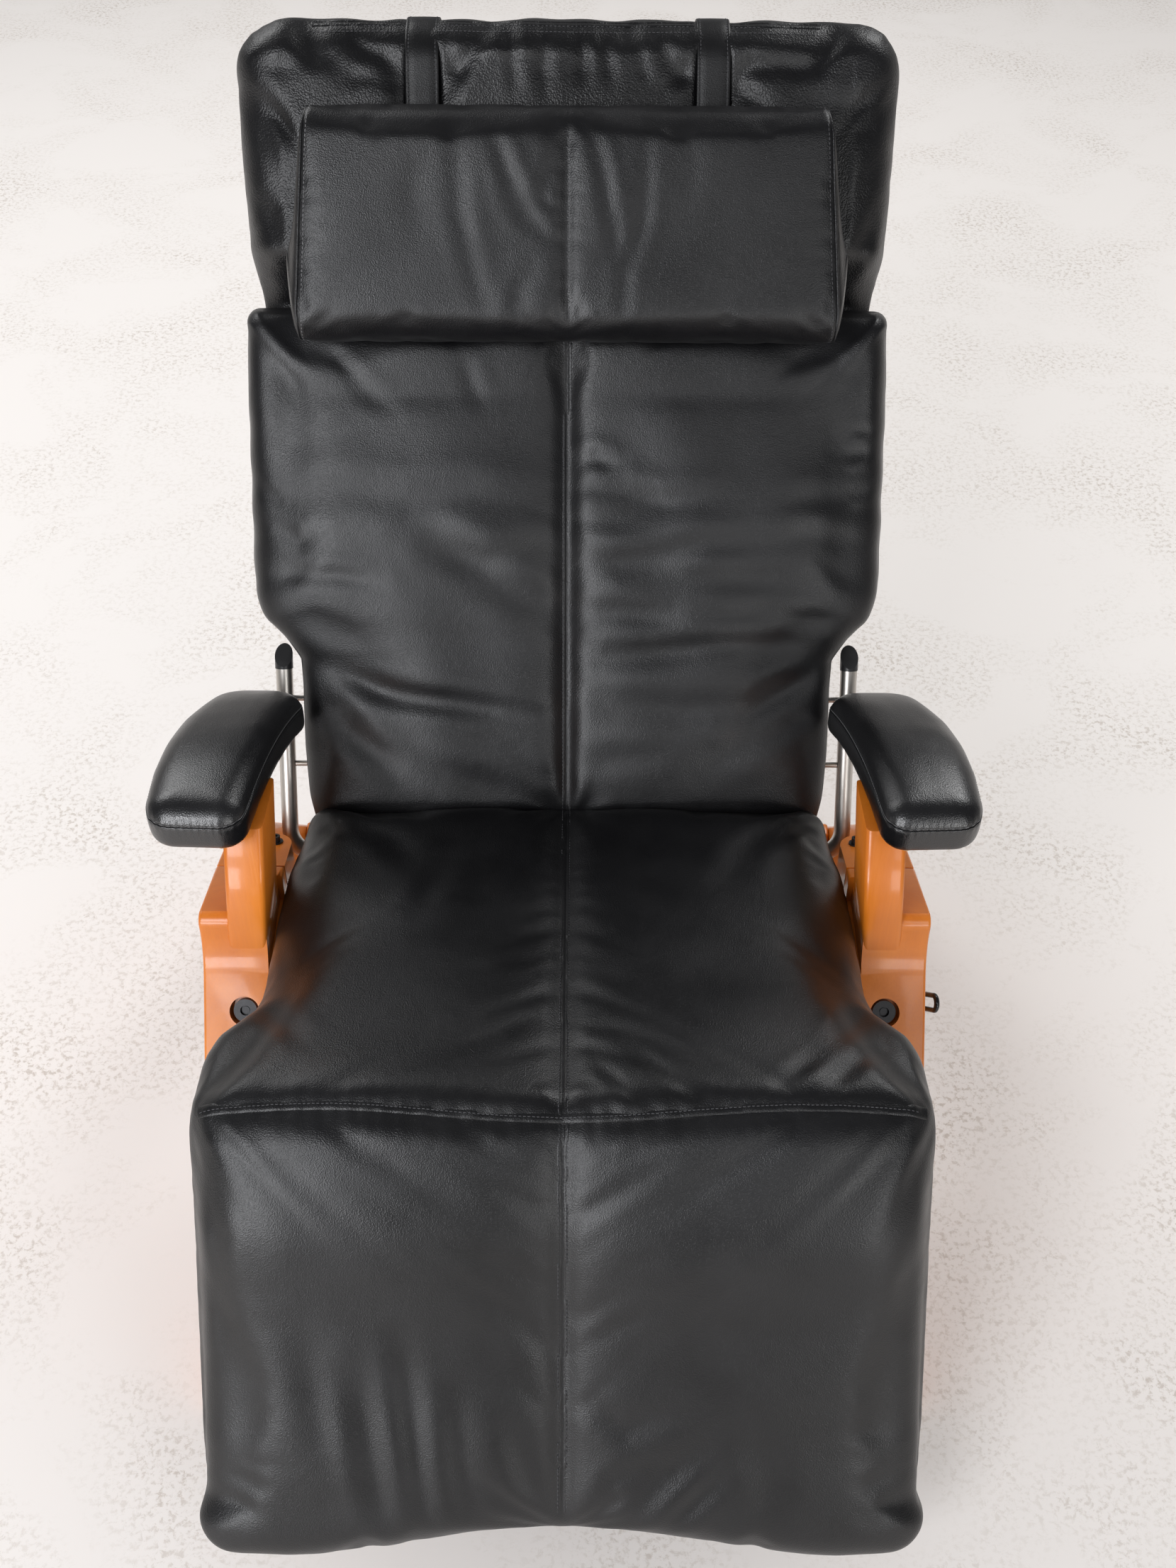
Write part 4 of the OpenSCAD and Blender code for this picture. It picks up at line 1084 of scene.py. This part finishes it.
arm_loop = (arc(338, -193, 27, 185, 264, 6) + arc(384, -190, 28, 276, 358, 7)
            + [(413, -140), (411, -90), (405, -35)]
            + arc(350, 18, 42, 12, 90, 7) + arc(323, 26, 34, 90, 187, 7))
boxing_z, arm_half = -21.0, ARM_PAD / 2
for side, sign in SIDES:
    obj = slab(side + "_arm", arm_loop, -ARM_PAD, 0, 3.6)
    co = coords(obj)
    # above the boxing seam the top is crowned, below it the side is a plain band with a small round at its foot
    upper = co[:, 2] >= -arm_half
    level = np.clip((co[:, 2] + arm_half) / arm_half, np.where(upper, 0, -1), np.where(upper, 1, 0))
    xy, level, d = rounded(co, arm_loop, level, np.where(upper, 25, 7), np.where(upper, 2.0, 3.2))
    top = -22 + 22 * level - 3.0 * (1 - smooth(d, 0, 46)) * level
    set_coords(obj, np.c_[xy, np.where(upper, top, -22 + 32 * level)])
    with_modifier(obj, "SMOOTH", factor=0.5, iterations=4)
    fit_outline(obj, arm_loop, 20)
    with_modifier(obj, "SUBSURF", levels=1, render_levels=1)
    co = coords(obj)
    d, _, inward = outline_info(co[:, :2], arm_loop)
    # the boxing seam runs round the side, and draws the leather in a little
    co[:, :2] += inward * (ridge(co[:, 2] - boxing_z, 1.6) * (d < 9) * 0.9)[:, None]
    corner = ridge(co[:, 1] + 205, 22) * ridge(co[:, 2] - boxing_z, 7) * (d < 9)
    co[:, :2] += inward * (corner * 0.35 * np.sin(co[:, 0] / 1.1))[:, None]
    uneven = waves(co[:, 0], co[:, 1], 31 + sign, 60, 0.2)
    co[:, 2] += smooth(co[:, 2], -18, -4) * (5 * smooth(co[:, 1], -60, 50) + uneven)
    set_coords(obj, co)

    def place(p, sign=sign):
        return np.c_[sign * p[:, 0], Y0 + p[:, 1], arm_level(p[:, 1]) + p[:, 2]] / 1000

    finish_pad(obj, place, side + "_arm_cushion", "base", LEATHER_ARM, [side + "_arm_pad"])
    tree = surface(obj)
    dense = along(arm_loop + [arm_loop[0]], 2.0)
    inward = outline_info(dense + 0.001, arm_loop)[2]

    def ring_at(z):
        level = np.full(len(dense), z)
        starts, aims = (place(np.c_[dense + inward * far, level]) for far in (-30, 20))
        return seen_along(tree, zip(starts, aims))

    welt = [(u * 0.62, v * 0.62 - 0.1) for u, v in PIPING]
    strip(side + "_arm_welt", ring_at(boxing_z), welt, "base", LEATHER_ARM, closed=True)
    row = along([(*p, *n) for p, n in ring_at(boxing_z + 3.4)], 0.0038)
    row = [(Vector(p[:3]), Vector(p[3:]).normalized()) for p in row]
    stitches(side + "_arm_stitches", [row], "base", THREAD_PALE_AND_HIGHLIGHT, 2.6, 0.34)


# ------------------------ counterweight, panels and webbing
pouch_loop = mirror_loop([(0, 562), (158, 562), (163, 568), (164, 610), (163, 652), (158, 658), (0, 658)])
pouch_t, pouch_rows = 24.5, 55
pouch = stuffed("pouch", pouch_loop, lambda x, y: pouch_t, 11, 4,
                lambda x, y: 1.5 * np.cos(np.pi * x / 110) ** 2,
                pins=lambda x, y: np.maximum(ridge(np.abs(x) - pouch_rows, 4), 0.3), cap=3,
                voxel=4.0, pressure=2.0, shrink=0.8)
co = coords(pouch)
co[:, 2] += smooth(co[:, 2], -12, -3) * seam_valley(np.abs(co[:, 0]) - pouch_rows, 4, 2.2)
# it hangs behind the hood, with its front to the rear
co[:, 2] = -123.2 - co[:, 2]
set_coords(pouch, co)
finish_pad(pouch, on_back, "counterweight_pouch", "weight", LEATHER_STRAP, ["counterweight"])
tree = surface(pouch)
rows = []
for off in (-52, -58, 52, 58):
    rays = [on_back([(off, s, -160), (off, s, -100)]) for s in np.arange(570, 652, 4.4)]
    rows.append(seen_along(tree, rays))
stitches("counterweight_stitches", rows, "weight", THREAD_PALE_AND_HIGHLIGHT)


def cloth_panel(name, place, y0, y1, replaced):
    """A board wrapped in cloth: its face swells a little and a hem runs round it."""
    half, tall, z0, z1 = 262, (y1 - y0) / 2, 69, 76
    bm = bmesh.new()
    bmesh.ops.create_grid(bm, x_segments=56, y_segments=int(56 * tall / half), size=1)
    for v in bm.verts:
        u, w = v.co.x, v.co.y
        d = min((1 - abs(u)) * half, (1 - abs(w)) * tall)
        hem = -0.9 * math.exp(-((d - 16) / 2.2) ** 2) - 2.2 * max(0, 1 - d / 4.0) ** 2
        z = 1.1 * min(1, d / 40) + hem + 0.25 * math.sin(u * 23) * math.sin(w * 17)
        v.co = Vector((u * half, (y0 + y1) / 2 + w * tall, z))
    for g in bmesh.ops.extrude_face_region(bm, geom=bm.faces[:])["geom"]:
        if isinstance(g, bmesh.types.BMVert):
            g.co.z = z0 - z1 + 1.4
    obj = from_bmesh(name, bm)
    x, y, z = coords(obj).T
    set_coords(obj, place(np.c_[x, y, 1.2 - z1 - z]))
    adopt(shade(outward(obj), BACKING, 50), "carriage", "backing_cloth", replaced)


cloth_panel("back_cloth_panel", on_back, 60, 462, "back_panel")
cloth_panel("leg_cloth_panel", on_leg, -372, -100, "leg_panel")


def hook(x, a0, a1):
    """A band's round turn about a side rail."""
    return [(x + 12.2 * math.cos(a), -66 + 12.2 * math.sin(a)) for a in np.radians(np.linspace(a0, a1, 9))]


sag = [(x, -78.2 - 1.2 * math.cos(math.pi * x / 552)) for x in np.linspace(-264, 264, 40)]
band = hook(-276, 190, 270) + sag + hook(276, 270, 350)
band_edge = [(0, 0.9), (3, 1.15), (7, 0.8), (33, 0.8), (37, 1.15), (40, 0.9)]
band_profile = [(0, -0.9)] + band_edge + [(w, -h) for w, h in reversed(band_edge[1:])]
verts, faces = [], []
for y0 in (-352, -304, -256):
    faces += skin(len(band), len(band_profile), len(verts))
    for i, (x, n) in enumerate(band):
        out = normal_of(band, i)
        verts += [(x + out[0] * h, y0 + w, n + out[1] * h) for w, h in band_profile]
web = shade(outward(mesh_from("webbing_bands", on_seat(verts), faces)), BAND, 40)
adopt(web, "carriage", "webbing", "seat_webbing")


# ------------------------ floor, light and camera
bm = bmesh.new()
bmesh.ops.create_grid(bm, x_segments=8, y_segments=8, size=30)
floor = from_bmesh("floor", bm)
m, t, b = nodes_of("pale_floor")
v = placed(t)
# worn concrete: a pale film with patches where the darker grain below shows through in specks
patches = spread(t, noise(t, v, 3.4, 5.0, 0.62, 0.5), 0.0, 1.0, 0.42, 0.66)
specks = spread(t, noise(t, v, 130.0, 7.0, 0.7, 0.3), 0.0, 1.0, 0.50, 0.60)
film, thin, grain = (0.82, 0.785, 0.76), (0.74, 0.70, 0.665), (0.58, 0.525, 0.48)
worn = ramp(t, math_node(t, "MULTIPLY", patches, specks), [(0.0, film), (0.35, thin), (1.0, grain)])
feed(t, b, {"Base Color": worn, "Roughness": 0.6, "Specular IOR Level": 0.3})
floor.data.materials.append(m)


def softbox(name, where, aim, size, power, tint=(1, 1, 1), mirrored=True):
    data = bpy.data.lights.new(name, "AREA")
    data.shape, data.size, data.size_y, data.energy, data.color = "RECTANGLE", size[0], size[1], power, tint
    obj = bpy.data.objects.new(name, data)
    scene.collection.objects.link(obj)
    obj.location = where
    obj.rotation_euler = (Vector(aim) - Vector(where)).to_track_quat("-Z", "Y").to_euler()
    obj.visible_camera = False
    obj.visible_glossy = mirrored
    return obj


softbox("left_of_camera", (-1.85, -3.2, 3.0), (-1.85, 0.0, 2.0), (1.7, 1.8), 98, (0.96, 0.97, 1.0))
softbox("low_left", (-1.8, -3.1, 0.95), (-1.8, 0.0, 0.75), (1.6, 0.9), 48, (0.96, 0.97, 1.0))
softbox("right_of_camera", (1.9, -3.2, 2.9), (1.9, 0.0, 2.0), (1.2, 1.8), 20)
softbox("low_right", (1.7, -3.1, 0.95), (1.7, 0.0, 0.75), (1.3, 0.9), 21)
softbox("behind_left", (-2.1, 2.5, 3.1), (-0.6, 0.0, 0.6), (2.4, 1.8), 52)
softbox("behind_right", (1.9, 2.5, 3.1), (0.5, 0.0, 0.6), (1.6, 1.6), 40)
softbox("overhead", (-1.0, 3.8, 3.8), (-1.0, 3.8, 0.0), (9.0, 7.0), 62, mirrored=False)
world = bpy.data.worlds.new("studio")
scene.world = world
world.use_nodes = True
wt = world.node_tree
around = node(wt, "ShaderNodeTexCoord").outputs["Generated"]
height = node(wt, "ShaderNodeSeparateXYZ", {"Vector": around}).outputs["Z"]
glow = ramp(wt, height, [(0.0, (0.36, 0.355, 0.35)), (0.3, (0.09, 0.09, 0.095))])
# the room is pale, but what the leather mirrors of it is dim
mirrored = node(wt, "ShaderNodeLightPath").outputs["Is Glossy Ray"]
seen = node(wt, "ShaderNodeMixRGB", {"Fac": mirrored, "Color1": (0.42, 0.415, 0.41, 1), "Color2": glow})
wt.links.new(seen.outputs["Color"], wt.nodes["Background"].inputs["Color"])
wt.nodes["Background"].inputs["Strength"].default_value = 1.0
scene.view_settings.view_transform = "Standard"

cam_data = bpy.data.cameras.new("camera")
cam = bpy.data.objects.new("camera", cam_data)
scene.collection.objects.link(cam)
cam_data.sensor_fit = "VERTICAL"
cam_data.sensor_height = 36.0
cam_data.sensor_width = 27.0
cam_data.lens = 40.475
cam_data.clip_end = 200
stand = Matrix.Translation((0.0105, -1.2993, 1.851))
for angle, axis in ((-0.565, "Z"), (90 - 44.58, "X"), (0.60, "Z")):
    stand = stand @ Matrix.Rotation(math.radians(angle), 4, axis)
cam.matrix_world = stand
scene.camera = cam
